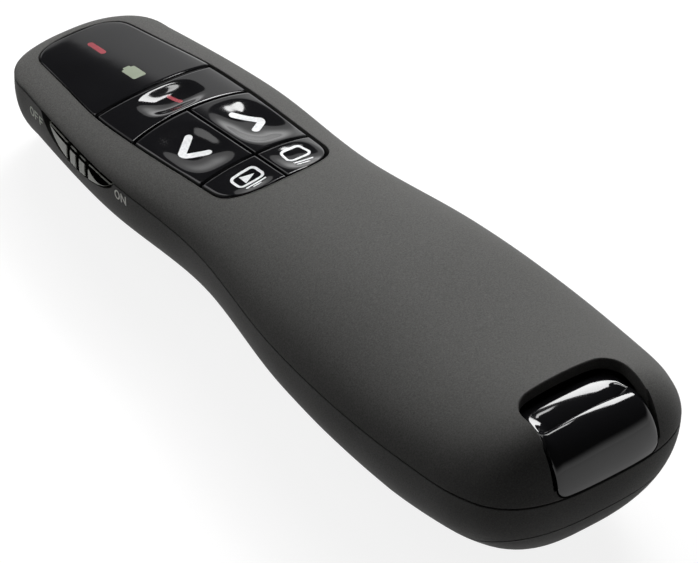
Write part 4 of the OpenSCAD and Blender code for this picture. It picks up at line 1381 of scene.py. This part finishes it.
def spine_of(points: Sequence[Point], is_closed: bool) -> list[tuple[Point, Point]]:
    """Corners of a line with the way across it at each.

    Args:
        points: the line's corners.
        is_closed: the last is joined to the first.

    Returns:
        Each corner and the way to the left there, longer where the line bends.
    """
    count = len(points)
    spine: list[tuple[Point, Point]] = []
    for i, corner in enumerate(points):
        pairs = []
        if is_closed or i:
            pairs.append((points[i - 1], corner))
        if is_closed or i < count - 1:
            pairs.append((corner, points[(i + 1) % count]))
        ways = [((b[0] - a[0]) / math.dist(a, b), (b[1] - a[1]) / math.dist(a, b)) for a, b in pairs]
        dx, dy = (sum(part) / len(ways) for part in zip(*ways))
        spread = 1 / max(0.25, dx * dx + dy * dy)
        spine.append((corner, (-dy * spread, dx * spread)))
    return spine


def stroke(points: Sequence[Point], width: float, is_closed: bool = False,
           step: float = 0.3) -> bmesh.types.BMesh:
    """A flat ribbon of one width along a line, with round ends.

    Args:
        points: the line's corners.
        width: width of the ribbon.
        is_closed: join its ends.
        step: greatest length of a face.

    Returns:
        The ribbon in plan.
    """
    half = width / 2
    track = spine_of(points, is_closed)
    rows: list[tuple[Point, Point, float]] = [(corner, left, half) for corner, left in track]
    if is_closed:
        rows.append(rows[0])
    else:
        for end, sign in ((0, -1), (-1, 1)):
            (x, y), (nx, ny) = track[end]
            turn = []
            for k in range(1, 7):
                a = math.pi / 2 * k / 6
                reach = half * math.sin(a) * sign
                turn.append(((x + ny * reach, y - nx * reach), (nx, ny), half * max(math.cos(a), 0.02)))
            rows = turn[::-1] + rows if end == 0 else rows + turn
    dense = []
    for (p, n, h), (q, m, g) in zip(rows, rows[1:]):
        count = max(1, round(math.dist(p, q) / step))
        dense += [((across(p[0], q[0], k / count), across(p[1], q[1], k / count)),
                   (across(n[0], m[0], k / count), across(n[1], m[1], k / count)),
                   across(h, g, k / count)) for k in range(count)]
    dense.append(rows[-1])
    last = len(dense) - 1

    def place(u: float, v: float) -> Spot:
        """A point of the ribbon.

        Args:
            u: share along.
            v: share across.

        Returns:
            The point.
        """
        (x, y), (nx, ny), h = dense[round(u * last)]
        side = (2 * v - 1) * h
        return x + nx * side, y + ny * side, 0.0

    bm = patch(last, 4, place)
    bmesh.ops.remove_doubles(bm, verts=bm.verts, dist=1e-5)
    return bm


def rounded(cx: float, cy: float, w: float, h: float, r: float) -> list[Point]:
    """Corners of a rounded rectangle.

    Args:
        cx: middle across.
        cy: middle along.
        w: width.
        h: height.
        r: radius of its corners.

    Returns:
        The corners, anticlockwise.
    """
    loop = []
    for quarter, (sx, sy) in enumerate(((1, 1), (-1, 1), (-1, -1), (1, -1))):
        for k in range(7):
            a = math.pi / 2 * (quarter + k / 6)
            loop.append((cx + sx * (w / 2 - r) + r * math.cos(a), cy + sy * (h / 2 - r) + r * math.sin(a)))
    return loop


def disc(loop: Sequence[Point]) -> bmesh.types.BMesh:
    """A filled plan shape around its own middle.

    Args:
        loop: its corners.

    Returns:
        The mesh.
    """
    count = len(loop)
    cx, cy = (sum(part) / count for part in zip(*loop))

    def place(u: float, v: float) -> Spot:
        """A point between a corner and the middle."""
        x, y = loop[round(u * count) % count]
        return across(cx, x, 1 - v), across(cy, y, 1 - v), 0.0

    bm = patch(count, 4, place)
    bmesh.ops.remove_doubles(bm, verts=bm.verts, dist=1e-5)
    return bm


def bead(loop: Sequence[Sequence[float]], radius: float) -> bmesh.types.BMesh:
    """A round bead along a closed line.

    Args:
        loop: its places, each with x, y and z.
        radius: radius of the bead.

    Returns:
        The mesh.
    """
    count = len(loop)

    def place(u: float, v: float) -> Spot:
        """A point of the bead.

        Args:
            u: share along.
            v: share of the way round.

        Returns:
            The point.
        """
        i = round(u * count) % count
        x, y, z = loop[i]
        (ax, ay, _), (bx, by, _) = loop[i - 1], loop[(i + 1) % count]
        size = max(math.hypot(bx - ax, by - ay), 1e-9)
        out, up = math.cos(2 * math.pi * v) * radius, math.sin(2 * math.pi * v) * radius
        return x + (by - ay) / size * out, y - (bx - ax) / size * out, z + up

    return close(patch(count, 10, place), 1e-4)


@dataclass
class Signs:
    """Printed signs on the keys and the light windows of the panel.

    The lines are places in plan. The cell's two boxes hold middle, width, height and corner radius.
    """

    keys: KeyField
    chevron_w: float = 1.1
    chevron_r: float = 0.605
    back_chevron: Line = ((-3.5, 24.5), (-6.6, 21.95), (-3.6, 20.1))
    forward_chevron: Line = ((4.15, 25.0), (6.65, 21.85), (4.5, 20.45))
    line_w: float = 0.4
    play_screen: Line = (
        (-3.7, 12.75), (-5.65, 12.6), (-5.65, 10.25), (-1.8, 10.2), (-1.85, 12.75), (-3.7, 12.75))
    play_screen_r: float = 0.7
    play_arrow: Line = ((-4.45, 12.2), (-4.5, 10.6), (-2.55, 11.5))
    play_feet: tuple[Line, Line] = (((-5.1, 9.57), (-2.25, 9.54)), ((-4.4, 9.1), (-3.3, 9.1)))
    play_feet_w: Point = (0.3, 0.24)
    blank_screen: Line = (
        (4.4, 13.1), (2.75, 12.95), (2.5, 10.6), (6.4, 10.95), (5.9, 13.2), (4.4, 13.1))
    blank_screen_r: float = 0.65
    blank_feet: tuple[Line, Line] = (((2.85, 9.95), (5.6, 9.75)), ((2.85, 9.3), (4.6, 9.15)))
    blank_feet_w: Point = (0.3, 0.28)
    laser_line: Line = ((0.65, 34.5), (0.85, 33.5), (1.15, 32.5))
    laser_w: float = 0.62
    laser_window: Line = ((0.0, 51.35), (0.0, 48.6))
    laser_window_w: float = 0.9
    cell_box: tuple[float, ...] = (0.0, 41.5, 2.1, 2.9, 0.3)
    cell_nub: tuple[float, ...] = (0.0, 43.1, 1.1, 0.5, 0.12)
    window_lift: float = 0.012

    def lay(self, name: str, parts: Sequence[bmesh.types.BMesh], key: Key, material: bpy.types.Material,
            slot: Slot) -> None:
        """Publish a sign on a key.

        Args:
            name: name of the piece.
            parts: its shapes in plan; they are used up.
            key: the key.
            material: the print.
            slot: the print's slot.
        """
        whole = bmesh.new()
        for part in parts:
            absorb(whole, self.keys.decal(part, self.keys.key_top))
        Piece(name, key.value, slot).publish(whole, material)

    def window(self, name: str, node: str, plan: bmesh.types.BMesh, material: bpy.types.Material,
               slot: Slot) -> None:
        """Publish a light window in the panel."""
        laid = self.keys.decal(plan, self.keys.form.crown_z, self.window_lift)
        Piece(name, "housing", slot, (node,)).publish(laid, material)

    def build(self) -> None:
        """Make every sign."""
        white = self.keys.print_white
        for key, line in ((Key.BACK, self.back_chevron), (Key.FORWARD, self.forward_chevron)):
            arms = stroke(softened(line, self.chevron_r), self.chevron_w)
            self.lay(key.name.lower() + "_chevron", [arms], key, white, Slot.IVORY)
        self.lay("play_sign", [
            stroke(softened(self.play_screen, self.play_screen_r)[:-1], self.line_w, True),
            disc(self.play_arrow),
            *(stroke(foot, width) for foot, width in zip(self.play_feet, self.play_feet_w)),
        ], Key.PLAY, white, Slot.IVORY)
        self.lay("blank_sign", [
            stroke(softened(self.blank_screen, self.blank_screen_r)[:-1], self.line_w, True),
            *(stroke(foot, width) for foot, width in zip(self.blank_feet, self.blank_feet_w)),
        ], Key.BLANK, white, Slot.IVORY)
        self.lay("laser_mark", [stroke(self.laser_line, self.laser_w)], Key.LASER, self.keys.red,
                 Slot.RED_LENS)
        self.window("laser_window_mark", "laser_indicator", stroke(self.laser_window, self.laser_window_w),
                    self.keys.red, Slot.RED_LENS)
        cell = disc(rounded(*self.cell_box))
        absorb(cell, disc(rounded(*self.cell_nub)))
        self.window("battery_window_mark", "battery_indicator", cell, self.keys.green, Slot.GREEN_LENS)


# --------------------------------------------------------------------------------------------------
# Slider, lettering and receiver cap
# --------------------------------------------------------------------------------------------------
@dataclass
class SliderSide:
    """Power slider in its slot, and the words beside it.

    The place of a word is the station of its start, the height of its foot line and that of its letters.
    """

    form: BodyForm
    shells: Shells
    grey: bpy.types.Material
    words: bpy.types.Material
    bright: bpy.types.Material
    # painted shade for the grooves, the slider's top and its rear facet
    shade: bpy.types.Material
    travel: float = 2.0
    groove_w: float = 0.75
    groove_pitch: float = 2.4
    groove_y: float = 34.75
    groove_lean: float = 0.12
    groove_d: float = 0.75
    proud: float = 0.1
    top_gap: float = 0.6
    edge_r: float = 0.25
    thick: float = 1.9
    end_gaps: Point = (0.45, 0.35)
    # where the painted shade over the rear facet and along the top lies
    facet_inset: float = 0.3
    facet_narrow: float = 0.16
    facet_wide: float = 0.69
    facet_peak: float = 0.72
    ledge_start: float = 0.26
    ledge_w: float = 1.4
    print_w: float = 0.24
    print_t: float = 0.06
    letter_w: float = 0.72
    letter_pitch: float = 1.035
    off_place: Spot = (48.35, 11.05, 1.35)
    on_place: Spot = (25.45, 13.2, 1.3)

    def band(self, y: float) -> Point:
        """Lower and upper edge of the slider's face.

        Args:
            y: station.

        Returns:
            Both heights.
        """
        rear, front = self.ends()
        station = across(self.shells.slot_rear, self.shells.slot_front, (y - rear) / (front - rear))
        top = self.form.part.at(y) - self.top_gap
        return min(self.form.part.at(y) - self.shells.slot_depth(station) + 0.05, top - 0.03), top

    def ends(self) -> Point:
        """Stations of the slider's rear and front ends."""
        rear, front = self.shells.slot_rear, self.shells.slot_front
        return rear + self.end_gaps[0], front - self.travel - self.end_gaps[1]

    def face(self, y: float, z: float, sunk: float) -> Spot:
        """A place on the slider's face, sunk below its crest."""
        return -(self.form.side_x(y, z) + self.proud - sunk), y, z

    def lean(self, y: float, z: float) -> float:
        """How far a groove leans back at a height."""
        return self.groove_lean * (z - self.form.part.at(y) + 2)

    def build(self) -> None:
        """Make the slider and the words."""
        rear, front = self.ends()

        def place(u: float, v: float) -> Spot:
            """A point of the slider's face.

            Args:
                u: share along.
                v: share of the way up.

            Returns:
                The point.
            """
            y = across(rear, front, u)
            low, top = self.band(y)
            z = across(low, top, v)
            groove = min(abs(y + self.lean(y, z) - self.groove_y - k * self.groove_pitch) for k in (-1, 0, 1))
            sunk = self.groove_d * (1 - smooth((groove - self.groove_w / 2 + 0.1) / 0.2))
            return self.face(y, z, sunk + round_off(min(z - low, top - z), self.edge_r))

        def inwards(co: Vector) -> None:
            """Move a point to the slider's back."""
            co.x += self.thick

        bm = patch(200, 24, place)
        skirt(bm, inwards)
        close(bm, 1e-4)
        Piece("slider_grip", "power_switch", Slot.SLIDER, ("power_slider",)).publish(bm, self.grey)
        self.grooves()
        self.word("OFF", *self.off_place, self.words)
        self.word("ON", *self.on_place, self.bright)

    def grooves(self) -> None:
        """Lay painted shade, a thin dark sheet, in the grooves, along the slider's top and over its rear
        facet.
        """
        rear, front = self.ends()
        rear, front = rear + self.facet_inset, front - self.facet_inset
        last = self.groove_y - self.groove_pitch - self.groove_w / 2

        def lining(u: float, v: float, middle: float) -> Spot:
            """A point of the painted shade that lines a groove.

            Args:
                u: share across the groove.
                v: share of the way up.
                middle: station of the groove.

            Returns:
                The point.
            """
            low, top = self.band(middle)
            z = low + (top - low) * (0.06 + 0.88 * v)
            y = middle - self.lean(middle, z) + (u - 0.5) * self.groove_w
            return self.face(y, z, self.groove_d * 0.15)

        def facet(u: float, v: float) -> Spot:
            """A point of the painted shade over the facet under the top edge, which widens behind the
            grooves.

            Args:
                u: share along.
                v: share of the way up.

            Returns:
                The point.
            """
            y = across(rear, front, u)
            low, top = self.band(y)
            t = clamp((last - y) / (last - rear))
            swell = math.sin(math.pi / 2 * min(t, self.facet_peak) / self.facet_peak)
            foot = across(top, low, self.facet_narrow + self.facet_wide * swell)
            z = across(foot, top - 0.05, v)
            return self.face(y, z, round_off(top - z, self.edge_r) - 0.03)

        def ledge(u: float, v: float) -> Spot:
            """A point of the painted shade on the slider's top, behind its edge.

            Args:
                u: share along.
                v: share of the way in.

            Returns:
                The point.
            """
            y = across(rear, front, u)
            x, y, z = self.face(y, self.band(y)[1], self.ledge_start + v * self.ledge_w)
            return x, y, z + 0.02

        whole = bmesh.new()
        for k in (-1, 0, 1):
            absorb(whole, patch(4, 24, lambda u, v: lining(u, v, self.groove_y + k * self.groove_pitch)))
        absorb(whole, patch(160, 10, facet))
        absorb(whole, patch(160, 4, ledge))
        # painted shade: dark sheets that stand in for the shade in the grooves, along the top and on the rear
        # facet
        Piece("slider_groove_shade", "power_switch", Slot.SOFT).publish(whole, self.shade)

    def word(self, text: str, start: float, low: float, height: float, material: bpy.types.Material) -> None:
        """Print a word on the lower shell, read towards the tail.

        Args:
            text: letters O, N and F.
            start: station of its first letter's left side.
            low: height of its foot line at the start.
            height: height of the letters.
            material: the print.
        """
        w = height * self.letter_w
        bar = height * 0.52
        shapes = {
            "O": [([(w / 2 * (1 + x), height / 2 * (1 + z)) for x, z in ring(18, 1.0)], True)],
            "N": [([(0, 0), (0, height)], False), ([(0, height), (w, 0)], False),
                  ([(w, 0), (w, height)], False)],
            "F": [([(0, 0), (0, height), (w * 0.9, height)], False), ([(0, bar), (w * 0.7, bar)], False)],
        }
        whole = bmesh.new()
        slope = (self.form.part.at(start) - self.form.part.at(start - 5)) / 5
        for i, letter in enumerate(text):
            for points, is_closed in shapes[letter]:
                bm = stroke(points, self.print_w, is_closed)
                for vert in bm.verts:
                    along = vert.co.x + i * height * self.letter_pitch
                    y = start - along
                    z = low + vert.co.y - slope * along
                    vert.co = Vector((-self.form.side_x(y, z) - 0.015, y, z))
                absorb(whole, thicken(bm, Vector((-1, 0, 0)), self.print_t))
        Piece("word_" + text.lower(), "housing", Slot.SLIDER).publish(whole, material)


@dataclass
class ReceiverCap:
    """Scooped cap of the receiver in the tail notch."""

    form: BodyForm
    finish: bpy.types.Material
    half: float = 7.9
    tail_half: float = 17.5
    start: float = 10.05
    crest_z: float = 25.1
    crest_l: float = 4.95
    lip_l: float = 9.7
    lip_drop: float = 0.35
    ramp_power: float = 2.4
    valley: float = 0.8
    soft_start: float = 0.07
    soft_l: float = 0.1
    scoop_d: float = 1.1
    scoop_half: float = 5.2
    scoop_end: float = 2.2
    low_r: float = 1.5
    tilt: float = 2.0
    side_r: float = 1.2
    side_drop: float = 0.16
    front_r: float = 0.3
    bowed: float = 0.01
    foot: float = 0.3
    foot_z: float = 0.25

    def tail_y(self, x: float) -> float:
        """Station of the tail end.

        Args:
            x: place across.

        Returns:
            The station.
        """
        t, square = clamp(abs(x) / self.tail_half), self.form.tail_sq
        round_y = self.form.tail_round * power(1 - t ** square, 1 / square)
        return -(self.form.half_l - self.form.tail_round) - round_y

    def floor(self, y: float) -> float:
        """Height of the cap's underside along its middle."""
        slope = math.tan(math.radians(self.tilt))
        return self.form.part.at(-self.form.half_l) + self.foot_z - (y + self.form.half_l) * slope

    def rise(self, x: float) -> float:
        """Rise of the underside at the round lower corners."""
        return round_off(self.half - abs(x), self.low_r)

    def crest(self, x: float) -> float:
        """Height of the crest behind the scoop."""
        return self.crest_z - self.bowed * x * x

    def scoop(self, x: float, y: float) -> float:
        """Height in the scoop: a ramp that steepens to the valley, with a short wall behind it.

        Args:
            x: place across.
            y: station.

        Returns:
            The height.
        """
        crest_y, lip_y = -self.form.half_l + self.crest_l, -self.form.half_l + self.lip_l
        t = clamp((lip_y - y) / (lip_y - crest_y))
        ramp = (t / self.valley) ** self.ramp_power
        wall = smooth((1 - t) / (1 - self.valley))
        fall = ramp + (wall - ramp) * smooth((t - self.valley + self.soft_start) / self.soft_l)
        return (self.crest(x) - self.lip_drop * (1 - t)
                - self.scoop_d * fall * (1 - smooth((abs(x) - self.scoop_half) / self.scoop_end)))

    def height(self, x: float, y: float) -> float:
        """Height of the cap.

        Args:
            x: place across.
            y: station.

        Returns:
            The height.
        """
        crest_y, low = -self.form.half_l + self.crest_l, self.floor(-self.form.half_l)
        if y > crest_y:
            z = self.scoop(x, y)
        else:
            t = clamp((crest_y - y) / (crest_y - self.tail_y(x)))
            z = low + (self.crest(x) - low) * math.sqrt(1 - t * t)
        e = clamp((abs(x) - self.half + self.side_r) / self.side_r)
        return z - (z - self.floor(y)) * self.side_drop * (1 - math.sqrt(1 - e * e * 0.96))

    def rear_y(self, x: float) -> float:
        """Station of the cap's rear end, further in where a round corner lifts it.

        Args:
            x: place across.

        Returns:
            The station.
        """
        crest_y = -self.form.half_l + self.crest_l
        k = (self.rise(x) + self.foot) / (self.crest(x) - self.floor(-self.form.half_l))
        return crest_y + (self.tail_y(x) + 0.02 - crest_y) * math.sqrt(1 - k * k)

    def build(self) -> None:
        """Make the cap."""
        crest_y = -self.form.half_l + self.crest_l
        start = -self.form.half_l + self.start
        slope = math.tan(math.radians(self.tilt))

        def place(u: float, v: float) -> Spot:
            """A point of the cap's top and rear.

            Args:
                u: share across.
                v: share of the way from the front to the tail.

            Returns:
                The point.
            """
            x = self.half * (2 * bunched(u, 0.3) - 1)
            if v <= ROUND_SHARE:
                y = across(start, crest_y, bunched(v / ROUND_SHARE, 0.1))
            else:
                k = (v - ROUND_SHARE) / (1 - ROUND_SHARE)
                y = across(crest_y, self.rear_y(x), math.sin(math.pi / 2 * k))
            z = self.height(x, y) - round_off(start - y, self.front_r)
            return x, y, max(z, self.floor(y) + self.rise(x) + self.foot)

        def lower(co: Vector) -> None:
            """Move a point down to the underside, along the raked front.

            Args:
                co: the point.
            """
            low = self.floor(co.y) + self.rise(co.x)
            if co.y > crest_y + 1:
                co.y -= (co.z - low) * slope
            co.z = low

        bm = patch(80, 110, place)
        skirt(bm, lower)
        close(bm, 1e-4)
        Piece("receiver_hood", "receiver", Slot.GLOSS, ("receiver_cap",)).publish(bm, self.finish)


# --------------------------------------------------------------------------------------------------
# Studio
# --------------------------------------------------------------------------------------------------
@dataclass(frozen=True)
class Softbox:
    """A rectangular light that faces the object.

    The azimuth runs from +X towards +Y and the elevation from the floor, in degrees. The spread is the width
    and height as the object sees them, in degrees. The radiance says how bright the light looks, where 1 is
    white, and the reach is the distance in metres.
    """

    name: str
    azimuth: float
    elevation: float
    spread: Point
    radiance: float
    reach: float = 0.45
    is_mirrored: bool = True

    def hang(self) -> None:
        """Add the light to the scene."""
        turn, lift = math.radians(self.azimuth), math.radians(self.elevation)
        way = Vector((math.cos(lift) * math.cos(turn), math.cos(lift) * math.sin(turn), math.sin(lift)))
        wide, high = (2 * self.reach * math.tan(math.radians(angle / 2)) for angle in self.spread)
        data = bpy.data.lights.new(self.name, "AREA")
        data.shape, data.size, data.size_y = "RECTANGLE", wide, high
        data.energy = self.radiance * math.pi * wide * high
        made = enter(self.name, data)
        made.visible_glossy = self.is_mirrored
        made.location = way * self.reach
        made.rotation_euler = way.to_track_quat("Z", "Y").to_euler()


@dataclass
class Studio:
    """Floor, lights and camera.

    The floor's place is its width and its height in metres, and the camera's distance and offset are in
    millimetres. The horizon gives the slopes between which the mirrored surroundings fade from white.
    """

    azimuth: float = -39.16
    elevation: float = 40.29
    roll: float = 2.33
    distance: float = 684.75
    offset: Point = (3.86, 6.9)
    lens: float = 270.27
    sensor: float = 36.0
    floor_place: Point = (6.0, -0.0002)
    floor_tone: float = 0.2
    shadow_tone: float = 0.2
    glow: float = 0.86
    ambient: float = 0.05
    horizon: Point = (0.0, 0.28)
    overhead: float = 0.04
    boxes: tuple[Softbox, ...] = (
        Softbox("key box", 29, 48, (28, 15), 15.5),
        Softbox("strip box", 60, 65, (26, 5), 10.0),
        Softbox("fill box", 44, 52, (40, 28), 3.1, is_mirrored=False),
        Softbox("nose box", 112, 40, (34, 28), 1.8, 0.9),
        Softbox("far wall", 52, 11, (56, 26), 0.65, 0.9),
    )

    def camera(self) -> None:
        """Place the camera."""
        a, e, r = (math.radians(v) for v in (self.azimuth, self.elevation, self.roll))
        back = Vector((math.sin(a) * math.cos(e), -math.cos(a) * math.cos(e), math.sin(e)))
        right = Vector((0, 0, 1)).cross(back).normalized()
        up = back.cross(right)
        right, up = right * math.cos(r) + up * math.sin(r), up * math.cos(r) - right * math.sin(r)
        data = bpy.data.cameras.new("view")
        data.lens, data.sensor_width, data.sensor_fit = self.lens, self.sensor, "HORIZONTAL"
        data.clip_start, data.clip_end = 0.01, 20.0
        made = enter("view", data)
        place = (back * self.distance + right * self.offset[0] + up * self.offset[1]) * MM
        turn = Matrix((right, up, back)).transposed().to_4x4()
        made.matrix_world = Matrix.Translation(place) @ turn
        bpy.context.scene.camera = made

    def floor(self) -> None:
        """Lay a floor that is white to the eye and in reflections, and keeps the object's shadow."""
        size, low = self.floor_place
        made = stand("floor", patch(2, 2, lambda u, v: ((u - 0.5) * size, (v - 0.5) * size, low)))
        material = bpy.data.materials.new("pale floor")
        graph = Graph(material)
        plain, tinted = (graph.node("BsdfDiffuse", {"Color": (tone, tone, tone, 1.0)}).outputs[0]
                         for tone in (self.floor_tone, self.shadow_tone))
        glow = graph.node("Emission", {"Color": WHITE, "Strength": self.glow}).outputs[0]
        lit = graph.node("AddShader", {0: tinted, 1: glow}).outputs[0]
        seen = graph.rays("Is Camera Ray", "Is Glossy Ray", "Is Transmission Ray")
        graph.node("OutputMaterial", {0: graph.choose(seen, plain, lit)})
        made.data.materials.append(material)

    def world(self) -> None:
        """White surroundings to the eye and at the horizon of reflections, dim light on the object."""
        world = bpy.data.worlds.new("studio")
        graph = Graph(world)
        height = graph.node("SeparateXYZ", {0: graph.node("TexCoord").outputs["Generated"]}).outputs["Z"]
        low, high = self.horizon
        fall = graph.node("MapRange", {0: height, 1: low, 2: high, 3: 1.0, 4: self.overhead},
                          interpolation_type="SMOOTHSTEP").outputs[0]
        dim, mirror, white = (graph.node("Background", {0: WHITE, 1: strength}).outputs[0]
                              for strength in (self.ambient, fall, 1.0))
        shown = graph.choose(graph.rays("Is Glossy Ray"), dim, mirror)
        seen = graph.rays("Is Camera Ray", "Is Transmission Ray")
        graph.node("OutputWorld", {0: graph.choose(seen, shown, white)})
        bpy.context.scene.world = world

    def build(self) -> None:
        """Set up the studio."""
        bpy.context.scene.view_settings.view_transform = "Standard"
        self.floor()
        self.world()
        for box in self.boxes:
            box.hang()
        self.camera()


def dress(materials: dict[Slot, bpy.types.Material]) -> None:
    """Give every carried-over CAD node the finish of its slot.

    Args:
        materials: the materials by slot.
    """
    slots = {part["node"]: Slot(part["material_slot"]) for part in frame["record"]["subparts"]}
    for node, obj in frame["nodes"].items():
        obj.data.materials.clear()
        obj.data.materials.append(materials[slots[node]])


def main() -> None:
    """Build the clicker and its studio."""
    logging.basicConfig(level=logging.INFO, format="%(name)s: %(message)s")
    materials = finishes()
    dress(materials)
    white = Moulded("white key print", (0.82, 0.83, 0.84), 0.4).build()
    words = Moulded("grey word print", (0.42, 0.46, 0.38), 0.5).build()
    bright = Moulded("pale word print", (0.9, 0.9, 0.84), 0.5).build()
    # painted shade: black with no sheen, laid in the slider's grooves, along its top and over its rear facet
    painted_shade = Moulded("painted groove shade", (0.004, 0.004, 0.004), 0.9, sheen=0.0).build()
    form = BodyForm()
    keys = KeyField(form, materials[Slot.GLOSS], white, materials[Slot.RED_LENS], materials[Slot.GREEN_LENS],
                    materials[Slot.SOFT])
    shells = Shells(form, materials[Slot.SOFT])
    shells.build(keys.opening())
    keys.build()
    SliderSide(form, shells, materials[Slot.SLIDER], words, bright, painted_shade).build()
    ReceiverCap(form, materials[Slot.GLOSS]).build()
    Studio().build()


if __name__ == "__main__":
    main()
